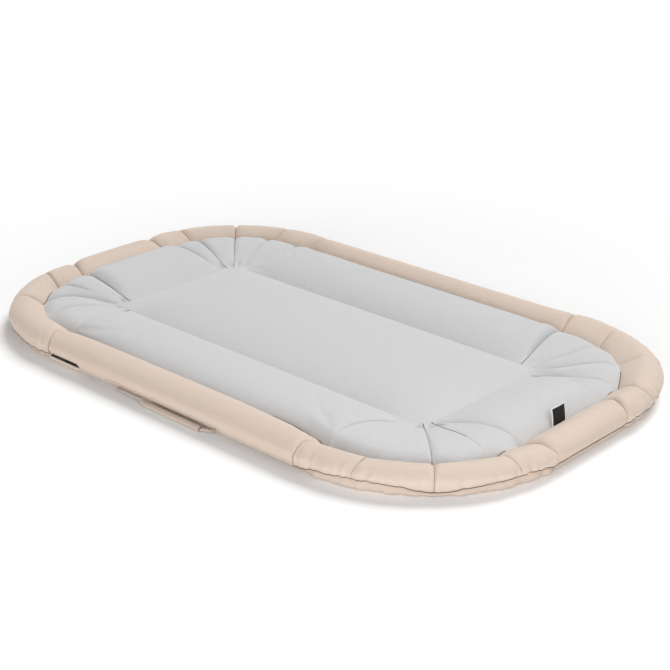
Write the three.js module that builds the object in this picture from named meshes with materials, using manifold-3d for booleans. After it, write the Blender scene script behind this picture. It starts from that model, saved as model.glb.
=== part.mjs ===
// An infant lounger laid flat. A foam mattress pad sits in a ring of stuffed white bolsters and corner
// gussets, a stuffed beige band goes round them, and a hem skirt closes the edge down to one base cloth.
// The near hem holds a zip, each long side has a sleeved carry handle, and a woven tab stands at the foot.
// Millimetres. +X runs to the foot end, -Y to the side with the zip, +Z up, and the origin lies on the
// floor under the middle of the lounger.

import * as THREE from 'three'
import Module from 'manifold-3d'
import { mergeVertices } from 'three/addons/utils/BufferGeometryUtils.js'

const wasm = await Module()
wasm.setup()

// The outline, laid flat, and what is left of it inside the beige band
const lounger_length = 990
const lounger_width = 606
const outer_corner_radius = 232
const band_width = 53
const top_corner_radius = 152
const end_bolster_width = 130
const side_bolster_width = 125.5
const pad_corner_radius = 24

// Five seams fan out over a corner from the pad to the hem. The first crosses each ring ahead of its bend,
// three cross it in the bend, and the last crosses it past the bend's end, or short of it where negative.
const bend_seam_degrees = [18, 44, 72]
const pad_first_seam_setback = 5
const pad_last_seam_setback = 2
const top_first_seam_setback = 27
const top_last_seam_setback = 11
const hem_first_seam_setback = 11
const hem_last_seam_setback = -7

// Heights above the floor
const base_thickness = 2
const valley_height = 20
const pad_crown_height = 34
const bolster_height = 46
const band_height = 42
const hem_height = 15

// How far a seam draws the stuffing in, and how far a corner chamber swells past the outline
const seam_run = 42
const straight_seam_run = 14
const seam_draw = 4
const scallop = 3
const pad_run = 75
const gusset_fullness_share = 0.8

// The cover over the foam, and the clearance that sewn neighbours keep
const cover_thickness = 2.6
const foam_side_inset = 4
const sewn_gap = 0.3

// The hem: a groove between the band's lower lip and the skirt's upper lip
const hem_groove_depth = 12
const hem_lip_depth = 8
const hem_groove_gap = 1.6
const hem_lip_gap = 6.4
const lip_round_share = 0.35
const skirt_depth = 21.5
const skirt_foot_depth = 17
const skirt_bulge_depth = 6.5
const skirt_bulge_share = 0.62
const skirt_pleat = 1.4

// The zip in the near hem
const zip_end_margin = 4
const zip_tape_margin = 1.5
const zip_tape_thickness = 1
const zip_chain_thickness = 2.4
const zip_chain_width = 2.4
const zip_tooth_pitch = 4
const zip_tooth_depth = 0.9
const tooth_root_share = 0.1
const tooth_tip_shares = [0.35, 0.75]
const zip_running_gap = 0.35
const slider_length = 10
const slider_height = 5
const slider_face_thickness = 2.2
const slider_lip_thickness = 0.7
const slider_back_share = 0.9
const slider_front_share = 0.7
const slider_park_share = 0.75
const puller_length = 30
const puller_height = 3.6
const puller_thickness = 1.1
const puller_pin_radius = 0.6
const puller_eye_wall = 0.7
const slider_ear_thickness = 0.9
const puller_neck_share = 0.6
const puller_neck_end_share = 0.3
const puller_shoulder_share = 0.4

// The carry handles, one on each long side
const handle_span = 206
const handle_leg_width = 13
const handle_leg_reach = 5
const webbing_width = 7
const webbing_thickness = 1.5
const sleeve_length = 120
const sleeve_margin = 1.5
const sleeve_thickness = 4
const sleeve_shift = 20
const handle_rest_degrees = 22
const anchor_thickness = 1
const anchor_height = 5.5
const anchor_drop_share = 0.14

// The woven tab in the foot-end seam
const tab_width = 28
const tab_height = 23
const tab_thickness = 1.3
const tab_lean_degrees = 9
const tab_offset = 16

// Stations along a chamber, as shares of its length, and across it, as shares of its width
const corner_station_shares = [0, 0.09, 0.27, 0.5, 0.73, 0.91, 1]
const long_station_shares = [0, 0.012, 0.04, 0.09, 0.2, 0.35, 0.5, 0.65, 0.8, 0.91, 0.96, 0.988, 1]
const short_station_shares = [0, 0.04, 0.13, 0.28, 0.5, 0.72, 0.87, 0.96, 1]
const pad_station_shares = [0, 0.015, 0.05, 0.12, 0.24, 0.5, 0.76, 0.88, 0.95, 0.985, 1]
const pad_row_shares = [0.93, 0.85, 0.7, 0.35, 0]

// Facets round a bend of the pad, round the zip's small pins, round its eye and round a folded edge
const pad_bend_steps = 5
const pin_segments = 12
const eye_segments = 16
const fold_segments = 6

// A white chamber from the pad's edge to the band: share across, height at a seam and height at its crest
const bolster_profile_shares = [
  [0, 0.435, 0.45],
  [0.06, 0.45, 0.56],
  [0.18, 0.48, 0.71],
  [0.36, 0.53, 0.87],
  [0.57, 0.57, 0.97],
  [0.76, 0.58, 1],
  [0.89, 0.57, 0.935],
  [0.965, 0.55, 0.81],
  [1, 0.53, 0.68],
]

// A beige chamber from the white top to its widest point: share across, height at a seam and at its crest
const band_profile_shares = [
  [0, 0.585, 0.73],
  [0.1, 0.62, 0.84],
  [0.3, 0.68, 0.96],
  [0.54, 0.7, 1],
  [0.78, 0.66, 0.91],
  [0.93, 0.6, 0.76],
  [1, 0.56, 0.63],
]

const half_gap = sewn_gap / 2

// Rings of the plan, each a rectangle with round corners. A ring's seams are the places where the seams
// of a corner cross it: lengths along the ring, counted from where its bend starts.
function ring(half_length, half_width, radius, first_setback, last_setback) {
  const bend = radius * Math.PI / 2
  const seams = [
    -first_setback,
    ...bend_seam_degrees.map((degrees) => radius * THREE.MathUtils.degToRad(degrees)),
    bend + last_setback,
  ]
  return { half_length, half_width, radius, bend, seams }
}

const hem_ring = ring(
  lounger_length / 2,
  lounger_width / 2,
  outer_corner_radius,
  hem_first_seam_setback,
  hem_last_seam_setback,
)
const top_ring = ring(
  hem_ring.half_length - band_width,
  hem_ring.half_width - band_width,
  top_corner_radius,
  top_first_seam_setback,
  top_last_seam_setback,
)
const pad_ring = ring(
  top_ring.half_length - end_bolster_width,
  top_ring.half_width - side_bolster_width,
  pad_corner_radius,
  pad_first_seam_setback,
  pad_last_seam_setback,
)
const seam_count = hem_ring.seams.length

function ringPoint(one_ring, place) {
  const x = one_ring.half_length - one_ring.radius
  const y = one_ring.half_width - one_ring.radius
  if (place < 0) return new THREE.Vector2(x + place, y + one_ring.radius)
  if (place > one_ring.bend) {
    return new THREE.Vector2(x + one_ring.radius, y - (place - one_ring.bend))
  }
  const turn = place / one_ring.radius
  return new THREE.Vector2(x + one_ring.radius * Math.sin(turn), y + one_ring.radius * Math.cos(turn))
}

// How full the stuffing is at a distance from a seam: none on it, and round up to full
function fullness(distance, run) {
  const nearness = 1 - Math.min(distance / run, 1)
  return Math.sqrt(Math.max(1 - nearness * nearness, 0))
}

// A chamber's stations, each with its inner and outer plan points, between one seam and the next.
// place(ring, share) gives the plan point on a ring at a share of the chamber's length.
function chamberStations(inner_ring, outer_ring, place, shares, swell) {
  const outer_length = place(outer_ring, 0).distanceTo(place(outer_ring, 1))
  const run = Math.min(seam_run, outer_length / 2)
  return shares.map((share, index) => {
    const inner = place(inner_ring, share)
    const outer = place(outer_ring, share)
    const outward = outer.clone().sub(inner).normalize()
    const distance = Math.min(share, 1 - share) * outer_length
    const full = fullness(distance, run)
    if (swell) outer.addScaledVector(outward, swell(full, distance))
    const side = index === 0 ? 1 : index === shares.length - 1 ? -1 : 0
    return { inner, outer, outward, full, side }
  })
}

// The end stations step back from their seam, square to it, by half the gap between neighbours
function offSeam(stations) {
  const first = stations[0]
  const last = stations[stations.length - 1]
  const along = last.outer.clone().sub(first.outer)
  return stations.map((station) => {
    const square = new THREE.Vector2(-station.outward.y, station.outward.x)
    if (square.dot(along) < 0) square.negate()
    const step = square.multiplyScalar(station.side * half_gap)
    return { ...station, inner: station.inner.clone().add(step), outer: station.outer.clone().add(step) }
  })
}

// A closed skin through a row of sections, each a loop with the same number of points
function skinThrough(sections, round) {
  const count = sections[0].points.length
  const positions = sections.flatMap((section) => section.points.flatMap((point) => point.toArray()))
  const indices = []
  const rows = round ? sections.length : sections.length - 1
  for (let row = 0; row < rows; row++) {
    const here = row * count
    const next = ((row + 1) % sections.length) * count
    for (let i = 0; i < count; i++) {
      const j = (i + 1) % count
      indices.push(here + i, here + j, next + j)
      indices.push(here + i, next + j, next + i)
    }
  }
  if (!round) {
    const last = (sections.length - 1) * count
    const caps = [[sections[0], 0, false], [sections[sections.length - 1], last, true]]
    caps.forEach(([section, start, turned]) => {
      THREE.ShapeUtils.triangulateShape(section.flat, []).forEach(([a, b, c]) => {
        const clockwise = THREE.ShapeUtils.isClockWise(section.flat)
        if (turned === clockwise) indices.push(start + a, start + c, start + b)
        else indices.push(start + a, start + b, start + c)
      })
    })
  }
  const geometry = new THREE.BufferGeometry()
  geometry.setAttribute('position', new THREE.Float32BufferAttribute(positions, 3))
  geometry.setIndex(indices)
  return facingOut(matchedCaps(geometry))
}

// The caps turn with the walls: a cap whose rim runs the same way as the wall's is reversed
function matchedCaps(geometry) {
  const index = geometry.index.array
  const directed = new Map()
  const flipped = []
  for (let i = 0; i < index.length; i += 3) {
    const corners = [index[i], index[i + 1], index[i + 2]]
    const clashes = corners.some((a, k) => directed.has(`${a} ${corners[(k + 1) % 3]}`))
    if (clashes) corners.reverse()
    corners.forEach((a, k) => directed.set(`${a} ${corners[(k + 1) % 3]}`, true))
    flipped.push(...corners)
  }
  geometry.setIndex(flipped)
  return geometry
}

function signedVolume(geometry) {
  const point = geometry.attributes.position
  const index = geometry.index.array
  const [a, b, c] = [new THREE.Vector3(), new THREE.Vector3(), new THREE.Vector3()]
  let volume = 0
  for (let i = 0; i < index.length; i += 3) {
    a.fromBufferAttribute(point, index[i])
    b.fromBufferAttribute(point, index[i + 1])
    c.fromBufferAttribute(point, index[i + 2])
    volume += a.dot(b.cross(c)) / 6
  }
  return volume
}

function facingOut(geometry) {
  if (signedVolume(geometry) < 0) geometry.index.array.reverse()
  return geometry
}

// A section across a chamber: shares across and heights, from the inner edge over the top and back below
function section(station, outline) {
  const across = station.outer.clone().sub(station.inner)
  const width = across.length()
  const points = outline.map(([share, height]) => {
    const place = station.inner.clone().addScaledVector(across, share)
    return new THREE.Vector3(place.x, place.y, height)
  })
  const flat = outline.map(([share, height]) => new THREE.Vector2(share * width, height))
  return { points, flat }
}

// A white chamber: flat below, crowned above, lowest at the pad and full near the band
function whiteChamber(stations, share_full) {
  const floor = base_thickness + sewn_gap
  const sections = offSeam(stations).map((station) => {
    const width = station.outer.distanceTo(station.inner)
    const trim = half_gap / width
    const top = bolster_profile_shares.map(([share, low_share, high_share]) => {
      const narrow = share_full < 1 ? Math.sqrt(share) * share_full : 1
      const height_share = low_share + (high_share - low_share) * station.full * narrow
      return [trim + share * (1 - 2 * trim), height_share * bolster_height]
    })
    return section(station, [...top, [1 - trim, floor], [trim, floor]])
  })
  return skinThrough(sections, false)
}

// The share across the band for a depth counted in from its outer edge
function depthShare(station, depth) {
  return 1 - depth / station.outer.distanceTo(station.inner)
}

// A beige chamber: crowned above, round at its outer side, its lower lip drawn in to the hem groove
function beigeChamber(stations) {
  const floor = base_thickness + sewn_gap
  const sections = offSeam(stations).map((station) => {
    const trim = half_gap / station.outer.distanceTo(station.inner)
    const top = band_profile_shares.map(([share, low_share, high_share]) => {
      const height_share = low_share + (high_share - low_share) * station.full
      return [trim + share * (1 - trim), height_share * band_height]
    })
    const side_height = top[top.length - 1][1]
    const lip_height = hem_height + hem_lip_gap / 2
    const round_height = THREE.MathUtils.lerp(lip_height, side_height, lip_round_share)
    const step = depthShare(station, skirt_depth + sewn_gap)
    const under = [
      [depthShare(station, hem_lip_depth * lip_round_share), round_height],
      [depthShare(station, hem_lip_depth), lip_height],
      [depthShare(station, hem_groove_depth), hem_height + hem_groove_gap / 2],
      [step, hem_height + hem_groove_gap / 2],
      [step, floor],
      [trim, floor],
    ]
    return section(station, [...top, ...under])
  })
  return skinThrough(sections, false)
}

// A corner chamber swells past the outline and a straight one only draws in at its seams
function cornerSwell(full) {
  return full * (scallop + seam_draw) - seam_draw
}

function straightSwell(full, distance) {
  return seam_draw * (fullness(distance, straight_seam_run) - 1)
}

// The skirt's section below the groove, with a pleat at every other station of a corner
function skirtSection(station, pleat) {
  const lip_height = hem_height - hem_lip_gap / 2
  return section(station, [
    [depthShare(station, skirt_depth), hem_height - hem_groove_gap / 2],
    [depthShare(station, hem_groove_depth), hem_height - hem_groove_gap / 2],
    [depthShare(station, hem_lip_depth + pleat / 2), lip_height],
    [depthShare(station, skirt_bulge_depth + pleat), lip_height * skirt_bulge_share],
    [depthShare(station, skirt_foot_depth + pleat), 0],
    [depthShare(station, skirt_depth), 0],
  ])
}

// Boolean solids
function toManifold(geometry) {
  const bare = geometry.clone()
  bare.deleteAttribute('normal')
  bare.deleteAttribute('uv')
  const merged = mergeVertices(bare)
  return new wasm.Manifold(new wasm.Mesh({
    numProp: 3,
    vertProperties: merged.attributes.position.array,
    triVerts: merged.index.array,
  }))
}

function toGeometry(manifold) {
  const mesh = manifold.getMesh()
  const geometry = new THREE.BufferGeometry()
  geometry.setAttribute('position', new THREE.Float32BufferAttribute(mesh.vertProperties, 3))
  geometry.setIndex(Array.from(mesh.triVerts))
  return geometry
}

// Materials
function cloth(color, roughness) {
  return new THREE.MeshStandardMaterial({ color, roughness, metalness: 0 })
}

const white_cloth = () => cloth('#dcdcdc', 0.85)
const beige_cloth = () => cloth('#d9c8b9', 0.6)
const lining_cloth = () => cloth('#cdbbab', 0.8)
const foam = () => cloth('#efe9dc', 0.95)
const black_cloth = () => cloth('#141414', 0.7)
const zip_metal = () => new THREE.MeshStandardMaterial({ color: '#b9bec6', roughness: 0.3, metalness: 1 })

const lounger = new THREE.Group()

function addPiece(name, geometry, material, parent = lounger) {
  const mesh = new THREE.Mesh(geometry, material)
  mesh.name = name
  parent.add(mesh)
  return mesh
}

// Round the plan: four corners with four chambers each, two long sides and two ends
const corners = [
  { name: 'foot_far', x: 1, y: 1 },
  { name: 'foot_near', x: 1, y: -1 },
  { name: 'head_far', x: -1, y: 1 },
  { name: 'head_near', x: -1, y: -1 },
]
const sides = [
  { name: 'far', x: 1, y: 1 },
  { name: 'near', x: 1, y: -1 },
]
const ends = [
  { name: 'foot', x: 1, y: 1 },
  { name: 'head', x: -1, y: 1 },
]

function mirrored(point, turn) {
  return new THREE.Vector2(point.x * turn.x, point.y * turn.y)
}

// A chamber between two seams of a corner
function cornerPlace(corner, number) {
  return (one_ring, share) => {
    const place = THREE.MathUtils.lerp(one_ring.seams[number], one_ring.seams[number + 1], share)
    return mirrored(ringPoint(one_ring, place), corner)
  }
}

// A chamber between the first seams of the two corners of a long side
function sidePlace(side) {
  return (one_ring, share) => {
    const end = ringPoint(one_ring, one_ring.seams[0])
    return mirrored(new THREE.Vector2(THREE.MathUtils.lerp(-end.x, end.x, share), end.y), side)
  }
}

// A chamber between the last seams of the two corners of an end
function endPlace(end) {
  return (one_ring, share) => {
    const seam = ringPoint(one_ring, one_ring.seams[seam_count - 1])
    return mirrored(new THREE.Vector2(seam.x, THREE.MathUtils.lerp(seam.y, -seam.y, share)), end)
  }
}

const chambers = []
corners.forEach((corner) => {
  for (let number = 0; number < seam_count - 1; number++) {
    chambers.push({
      white: `gusset_${corner.name}_${number + 1}`,
      beige: `band_${corner.name}_${number + 1}`,
      place: cornerPlace(corner, number),
      shares: corner_station_shares,
      swell: cornerSwell,
      share_full: gusset_fullness_share,
      corner,
      number,
    })
  }
})
sides.forEach((side) => {
  chambers.push({
    white: `side_bolster_${side.name}`,
    beige: `side_band_${side.name}`,
    place: sidePlace(side),
    shares: long_station_shares,
    swell: straightSwell,
    share_full: 1,
    side,
  })
})
ends.forEach((end) => {
  chambers.push({
    white: `end_bolster_${end.name}`,
    beige: `end_band_${end.name}`,
    place: endPlace(end),
    shares: short_station_shares,
    swell: straightSwell,
    share_full: 1,
    end,
  })
})

chambers.forEach((chamber) => {
  const white = chamberStations(pad_ring, top_ring, chamber.place, chamber.shares)
  const beige = chamberStations(top_ring, hem_ring, chamber.place, chamber.shares, chamber.swell)
  chamber.edge = beige.map((station) => ({ ...station, bend: chamber.corner !== undefined }))
  addPiece(chamber.white, whiteChamber(white, chamber.share_full), white_cloth())
  addPiece(chamber.beige, beigeChamber(beige), beige_cloth())
})

// The edge stations in one round, from the foot's far corner on
function chamberOf(test) {
  return chambers.find(test).edge
}

function cornerEdge(name) {
  const corner = corners.find((one) => one.name === name)
  return chambers.filter((chamber) => chamber.corner === corner).flatMap((chamber) => chamber.edge)
}

const edge_round = [
  ...cornerEdge('foot_far'),
  ...chamberOf((chamber) => chamber.end === ends[0]),
  ...cornerEdge('foot_near').reverse(),
  ...chamberOf((chamber) => chamber.side === sides[1]).slice().reverse(),
  ...cornerEdge('head_near'),
  ...chamberOf((chamber) => chamber.end === ends[1]).slice().reverse(),
  ...cornerEdge('head_far').reverse(),
  ...chamberOf((chamber) => chamber.side === sides[0]),
].filter((station, index, all) => {
  const before = all[(index + all.length - 1) % all.length]
  return station.outer.distanceTo(before.outer) > half_gap
})

const skirt_sections = edge_round.map((station, index) => {
  const pleat = station.bend && index % 2 === 0 ? skirt_pleat : 0
  return skirtSection(station, pleat)
})
addPiece('hem_skirt', skinThrough(skirt_sections, true), beige_cloth())

// The base cloth lies inside the skirt's foot
function edgeShape(stations, depth) {
  return new THREE.Shape(stations.map((station) => {
    const across = station.outer.clone().sub(station.inner)
    return station.inner.clone().addScaledVector(across, depthShare(station, depth))
  }))
}

addPiece('base_panel', new THREE.ExtrudeGeometry(edgeShape(edge_round, skirt_depth + sewn_gap), {
  depth: base_thickness,
  bevelEnabled: false,
}), lining_cloth())

// The mattress pad: a dome over the pad's ring, drawn in by a margin and lowered by a drop
function padDome(margin, drop, floor) {
  const half_length = pad_ring.half_length - margin
  const half_width = pad_ring.half_width - margin
  const radius = Math.max(pad_ring.radius - margin, sewn_gap)
  const bend = Array.from({ length: pad_bend_steps }, (unused, step) => {
    const turn = Math.PI / 2 * (1 - step / pad_bend_steps)
    return [half_length - radius + radius * Math.sin(turn), half_width - radius + radius * Math.cos(turn)]
  })
  const inner = pad_row_shares.map((share) => [(half_length - radius) * share, half_width])
  const half_row = [...bend, [half_length - radius, half_width], ...inner]
  const row = [...half_row.map(([x, y]) => [-x, y]), ...half_row.slice(0, -1).reverse()]
  const sections = row.map(([x, half]) => {
    const from_end = pad_ring.half_length - Math.abs(x)
    const top = pad_station_shares.map((share) => {
      const y = THREE.MathUtils.lerp(-half, half, share)
      const from_side = pad_ring.half_width - Math.abs(y)
      const rise = fullness(from_end, pad_run) * fullness(from_side, pad_run)
      return new THREE.Vector3(x, y, valley_height + (pad_crown_height - valley_height) * rise - drop)
    })
    const points = [...top, new THREE.Vector3(x, half, floor), new THREE.Vector3(x, -half, floor)]
    return { points, flat: points.map((point) => new THREE.Vector2(point.y, point.z)) }
  })
  return skinThrough(sections, false)
}

const pad_floor = base_thickness + sewn_gap
const cover_solid = toManifold(padDome(half_gap, 0, pad_floor))
const cover_room = toManifold(padDome(half_gap + cover_thickness, cover_thickness, pad_floor - sewn_gap))
addPiece('pad_cover', toGeometry(cover_solid.subtract(cover_room)), white_cloth())
addPiece('foam_core', padDome(foam_side_inset, cover_thickness + sewn_gap, pad_floor), foam())

// The zip lies in the near hem's groove. Its parts are drawn in a frame whose origin is on the hem's
// middle line at the outer edge of the band, with +Y pointing out of the hem.
const zip_frame = new THREE.Group()
zip_frame.position.set(0, -hem_ring.half_width, hem_height)
zip_frame.rotation.z = Math.PI
lounger.add(zip_frame)

const chain_outer_depth = hem_lip_depth - zip_chain_width - sewn_gap
const chain_inner_depth = chain_outer_depth + zip_chain_width
const tape_inner_depth = skirt_depth - zip_tape_margin
const zip_half_length = ringPoint(hem_ring, hem_ring.seams[0]).x - zip_end_margin
const zip_length = 2 * zip_half_length

// Tape with its toothed chain: one outline seen from above for the teeth and a flat tape behind them
function toothedChain() {
  const half = zip_half_length
  const teeth = Math.floor(zip_length / zip_tooth_pitch)
  const pitch = zip_length / teeth
  const outline = [new THREE.Vector2(-half, -chain_inner_depth)]
  outline.push(new THREE.Vector2(half, -chain_inner_depth))
  for (let tooth = teeth - 1; tooth >= 0; tooth--) {
    const start = -half + tooth * pitch
    const low = -chain_outer_depth - zip_tooth_depth
    outline.push(new THREE.Vector2(start + pitch, low))
    outline.push(new THREE.Vector2(start + pitch * tooth_tip_shares[1], -chain_outer_depth))
    outline.push(new THREE.Vector2(start + pitch * tooth_tip_shares[0], -chain_outer_depth))
    outline.push(new THREE.Vector2(start + pitch * tooth_root_share, low))
  }
  outline.push(new THREE.Vector2(-half, -chain_outer_depth - zip_tooth_depth))
  const chain = new THREE.ExtrudeGeometry(new THREE.Shape(outline), {
    depth: zip_chain_thickness,
    bevelEnabled: false,
  })
  return chain.translate(0, 0, -zip_chain_thickness / 2)
}

const tape_run = tape_inner_depth - chain_inner_depth
const zip_tape = new THREE.BoxGeometry(zip_length, tape_run, zip_tape_thickness)
zip_tape.translate(0, -chain_inner_depth - tape_run / 2, 0)
const tape_overlap = new THREE.BoxGeometry(zip_length, zip_chain_width / 2, zip_tape_thickness)
tape_overlap.translate(0, -chain_inner_depth, 0)
const zip_track = toManifold(toothedChain()).add(toManifold(tape_overlap)).add(toManifold(zip_tape))
addPiece('zip_track', toGeometry(zip_track), black_cloth(), zip_frame)

// The slider wraps the chain, with a slot towards the tape and two ears outside for the puller's pin
const slider_slot = zip_chain_thickness / 2 + zip_running_gap
const slider_tape_slot = zip_tape_thickness / 2 + zip_running_gap
const slider_inner_depth = chain_inner_depth + zip_running_gap + slider_lip_thickness
const slider_outer_depth = chain_outer_depth - zip_running_gap - slider_face_thickness
const eye_radius = puller_pin_radius + zip_running_gap + puller_eye_wall
const pin_depth = slider_outer_depth - zip_running_gap - eye_radius
const slider_start = -zip_half_length + slider_length * slider_park_share

function sliderProfile() {
  const half = slider_height / 2
  const back_half = half * slider_back_share
  const front_half = half * slider_front_share
  const back = -slider_inner_depth
  const lip = back + slider_lip_thickness
  const face = -chain_outer_depth + zip_running_gap
  const front = -slider_outer_depth
  return new THREE.Shape([
    new THREE.Vector2(back, slider_tape_slot),
    new THREE.Vector2(back, back_half),
    new THREE.Vector2(lip, half),
    new THREE.Vector2(front - slider_lip_thickness, half),
    new THREE.Vector2(front, front_half),
    new THREE.Vector2(front, -front_half),
    new THREE.Vector2(front - slider_lip_thickness, -half),
    new THREE.Vector2(lip, -half),
    new THREE.Vector2(back, -back_half),
    new THREE.Vector2(back, -slider_tape_slot),
    new THREE.Vector2(lip, -slider_tape_slot),
    new THREE.Vector2(lip, -slider_slot),
    new THREE.Vector2(face, -slider_slot),
    new THREE.Vector2(face, slider_slot),
    new THREE.Vector2(lip, slider_slot),
    new THREE.Vector2(lip, slider_tape_slot),
  ])
}

function upright(radius, height, segments) {
  return new THREE.CylinderGeometry(radius, radius, height, segments).rotateX(Math.PI / 2)
}

function sliderBody() {
  const body = new THREE.ExtrudeGeometry(sliderProfile(), { depth: slider_length, bevelEnabled: false })
  body.rotateX(Math.PI / 2)
  body.rotateZ(Math.PI / 2)
  body.translate(-slider_length / 2, 0, 0)
  const ear_height = puller_height / 2 + zip_running_gap
  let solid = toManifold(body)
  const ear_reach = slider_outer_depth - pin_depth
  for (const side of [-1, 1]) {
    const z = side * (ear_height + slider_ear_thickness / 2)
    const ear = new THREE.BoxGeometry(eye_radius * 2, ear_reach + slider_lip_thickness, slider_ear_thickness)
    ear.translate(0, -slider_outer_depth + (ear_reach - slider_lip_thickness) / 2, z)
    const knuckle = upright(eye_radius, slider_ear_thickness, pin_segments).translate(0, -pin_depth, z)
    solid = solid.add(toManifold(ear)).add(toManifold(knuckle))
  }
  const pin = upright(puller_pin_radius, 2 * ear_height + slider_ear_thickness, pin_segments)
  pin.translate(0, -pin_depth, 0)
  return toGeometry(solid.add(toManifold(pin)))
}

// The puller: an eye round the pin and a tapered plate lying along the hem towards the foot end
function pullerBody() {
  const eye = upright(eye_radius, puller_height, eye_segments)
  const hole = upright(puller_pin_radius + zip_running_gap, puller_height * 2, eye_segments)
  const start = eye_radius - puller_eye_wall / 2
  const plate_shape = new THREE.Shape()
  const half = puller_height / 2
  const neck = half * puller_neck_share
  const neck_end = puller_length * puller_neck_end_share
  const shoulder = puller_length * puller_shoulder_share
  plate_shape.moveTo(start, -neck)
  plate_shape.lineTo(neck_end, -neck)
  plate_shape.lineTo(shoulder, -half)
  plate_shape.lineTo(puller_length - half, -half)
  plate_shape.absarc(puller_length - half, 0, half, -Math.PI / 2, Math.PI / 2, false)
  plate_shape.lineTo(shoulder, half)
  plate_shape.lineTo(neck_end, neck)
  plate_shape.lineTo(start, neck)
  const plate = new THREE.ExtrudeGeometry(plate_shape, {
    depth: puller_thickness,
    bevelEnabled: false,
    curveSegments: fold_segments,
  })
  plate.rotateX(Math.PI / 2)
  plate.translate(0, puller_thickness / 2, 0)
  const solid = toManifold(eye).add(toManifold(plate)).subtract(toManifold(hole))
  return toGeometry(solid)
}

// In the zip's frame +X points to the head end, so the start of the zip's travel is at its far +X
const zip_slider = addPiece('zip_slider', sliderBody(), zip_metal(), zip_frame)
zip_slider.position.x = -slider_start
const zip_puller = addPiece('zip_puller', pullerBody(), zip_metal(), zip_frame)
zip_puller.position.set(-slider_start, -pin_depth, 0)
zip_puller.rotation.z = Math.PI

// A carry handle: two patches on the skirt, a webbing loop that swings at them and a sleeve round its grip.
// Its frame has its origin on the swing line, at the skirt's bulge, +X along the hem and +Y out of it.
const handle_reach = handle_leg_reach + webbing_width
const sleeve_reach = webbing_width + 2 * sleeve_margin
const bulge_height = (hem_height - hem_lip_gap / 2) * skirt_bulge_share
const face_run = skirt_foot_depth - skirt_bulge_depth
const face_length = Math.hypot(bulge_height, face_run)
const face_angle = Math.atan2(bulge_height, face_run)
const swing_line_reach = webbing_thickness / 2 + sewn_gap

function webbingLoop() {
  const half = handle_span / 2
  const shape = new THREE.Shape([
    new THREE.Vector2(-half, 0),
    new THREE.Vector2(-half + handle_leg_width, 0),
    new THREE.Vector2(-half + handle_leg_width, handle_leg_reach),
    new THREE.Vector2(half - handle_leg_width, handle_leg_reach),
    new THREE.Vector2(half - handle_leg_width, 0),
    new THREE.Vector2(half, 0),
    new THREE.Vector2(half, handle_reach - webbing_width / 2),
    new THREE.Vector2(half - handle_leg_width, handle_reach),
    new THREE.Vector2(-half + handle_leg_width, handle_reach),
    new THREE.Vector2(-half, handle_reach - webbing_width / 2),
  ])
  const strap = new THREE.ExtrudeGeometry(shape, { depth: webbing_thickness, bevelEnabled: false })
  strap.translate(0, 0, -webbing_thickness / 2)
  const rolls = [-1, 1].map((along) => {
    const radius = webbing_thickness / 2
    const roll = new THREE.CylinderGeometry(radius, radius, handle_leg_width, pin_segments)
    roll.rotateZ(Math.PI / 2)
    return toManifold(roll.translate(along * (half - handle_leg_width / 2), 0, 0))
  })
  return toGeometry(toManifold(strap).add(rolls[0]).add(rolls[1]))
}

// The sleeve is a flat tube open at both ends, its section a slot with round edges
function roundEndedSlot(width, thickness) {
  const radius = thickness / 2
  const shape = new THREE.Shape()
  shape.absarc(width / 2 - radius, 0, radius, -Math.PI / 2, Math.PI / 2, false)
  shape.absarc(-width / 2 + radius, 0, radius, Math.PI / 2, Math.PI * 1.5, false)
  return shape
}

function gripSleeve() {
  const shape = roundEndedSlot(sleeve_reach, sleeve_thickness)
  const bore = new THREE.Path()
  const bore_half_width = webbing_width / 2 + sewn_gap
  const bore_half_height = webbing_thickness / 2 + sewn_gap
  bore.moveTo(-bore_half_width, -bore_half_height)
  bore.lineTo(-bore_half_width, bore_half_height)
  bore.lineTo(bore_half_width, bore_half_height)
  bore.lineTo(bore_half_width, -bore_half_height)
  shape.holes.push(bore)
  const tube = new THREE.ExtrudeGeometry(shape, {
    depth: sleeve_length,
    bevelEnabled: false,
    curveSegments: fold_segments,
  })
  tube.rotateX(Math.PI / 2)
  tube.rotateZ(Math.PI / 2)
  return tube.translate(-sleeve_length / 2, handle_leg_reach + webbing_width / 2, 0)
}

// A patch lies on the skirt's undercut face, its upper edge just below the webbing's root
function anchorPatch(along) {
  const patch = new THREE.BoxGeometry(handle_leg_width, anchor_height, anchor_thickness)
  patch.translate(0, -anchor_height / 2, -anchor_thickness / 2 - sewn_gap)
  patch.rotateX(face_angle)
  const root_drop = face_length * anchor_drop_share
  return patch.translate(
    along * (handle_span - handle_leg_width) / 2,
    -swing_line_reach - root_drop * Math.cos(face_angle),
    -root_drop * Math.sin(face_angle),
  )
}

sides.forEach((side) => {
  const frame = new THREE.Group()
  const reach = hem_ring.half_width - skirt_bulge_depth + swing_line_reach
  frame.position.set(0, side.y * reach, bulge_height)
  frame.rotation.z = side.y > 0 ? 0 : Math.PI
  lounger.add(frame)
  const swing = new THREE.Group()
  swing.rotation.x = -THREE.MathUtils.degToRad(handle_rest_degrees)
  frame.add(swing)
  addPiece(`handle_webbing_${side.name}`, webbingLoop(), beige_cloth(), swing)
  const sleeve = addPiece(`handle_sleeve_${side.name}`, gripSleeve(), beige_cloth(), swing)
  sleeve.position.x = side.y > 0 ? 0 : -sleeve_shift
  addPiece(`handle_anchor_${side.name}_a`, anchorPatch(-1), beige_cloth(), frame)
  addPiece(`handle_anchor_${side.name}_b`, anchorPatch(1), beige_cloth(), frame)
})

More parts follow.
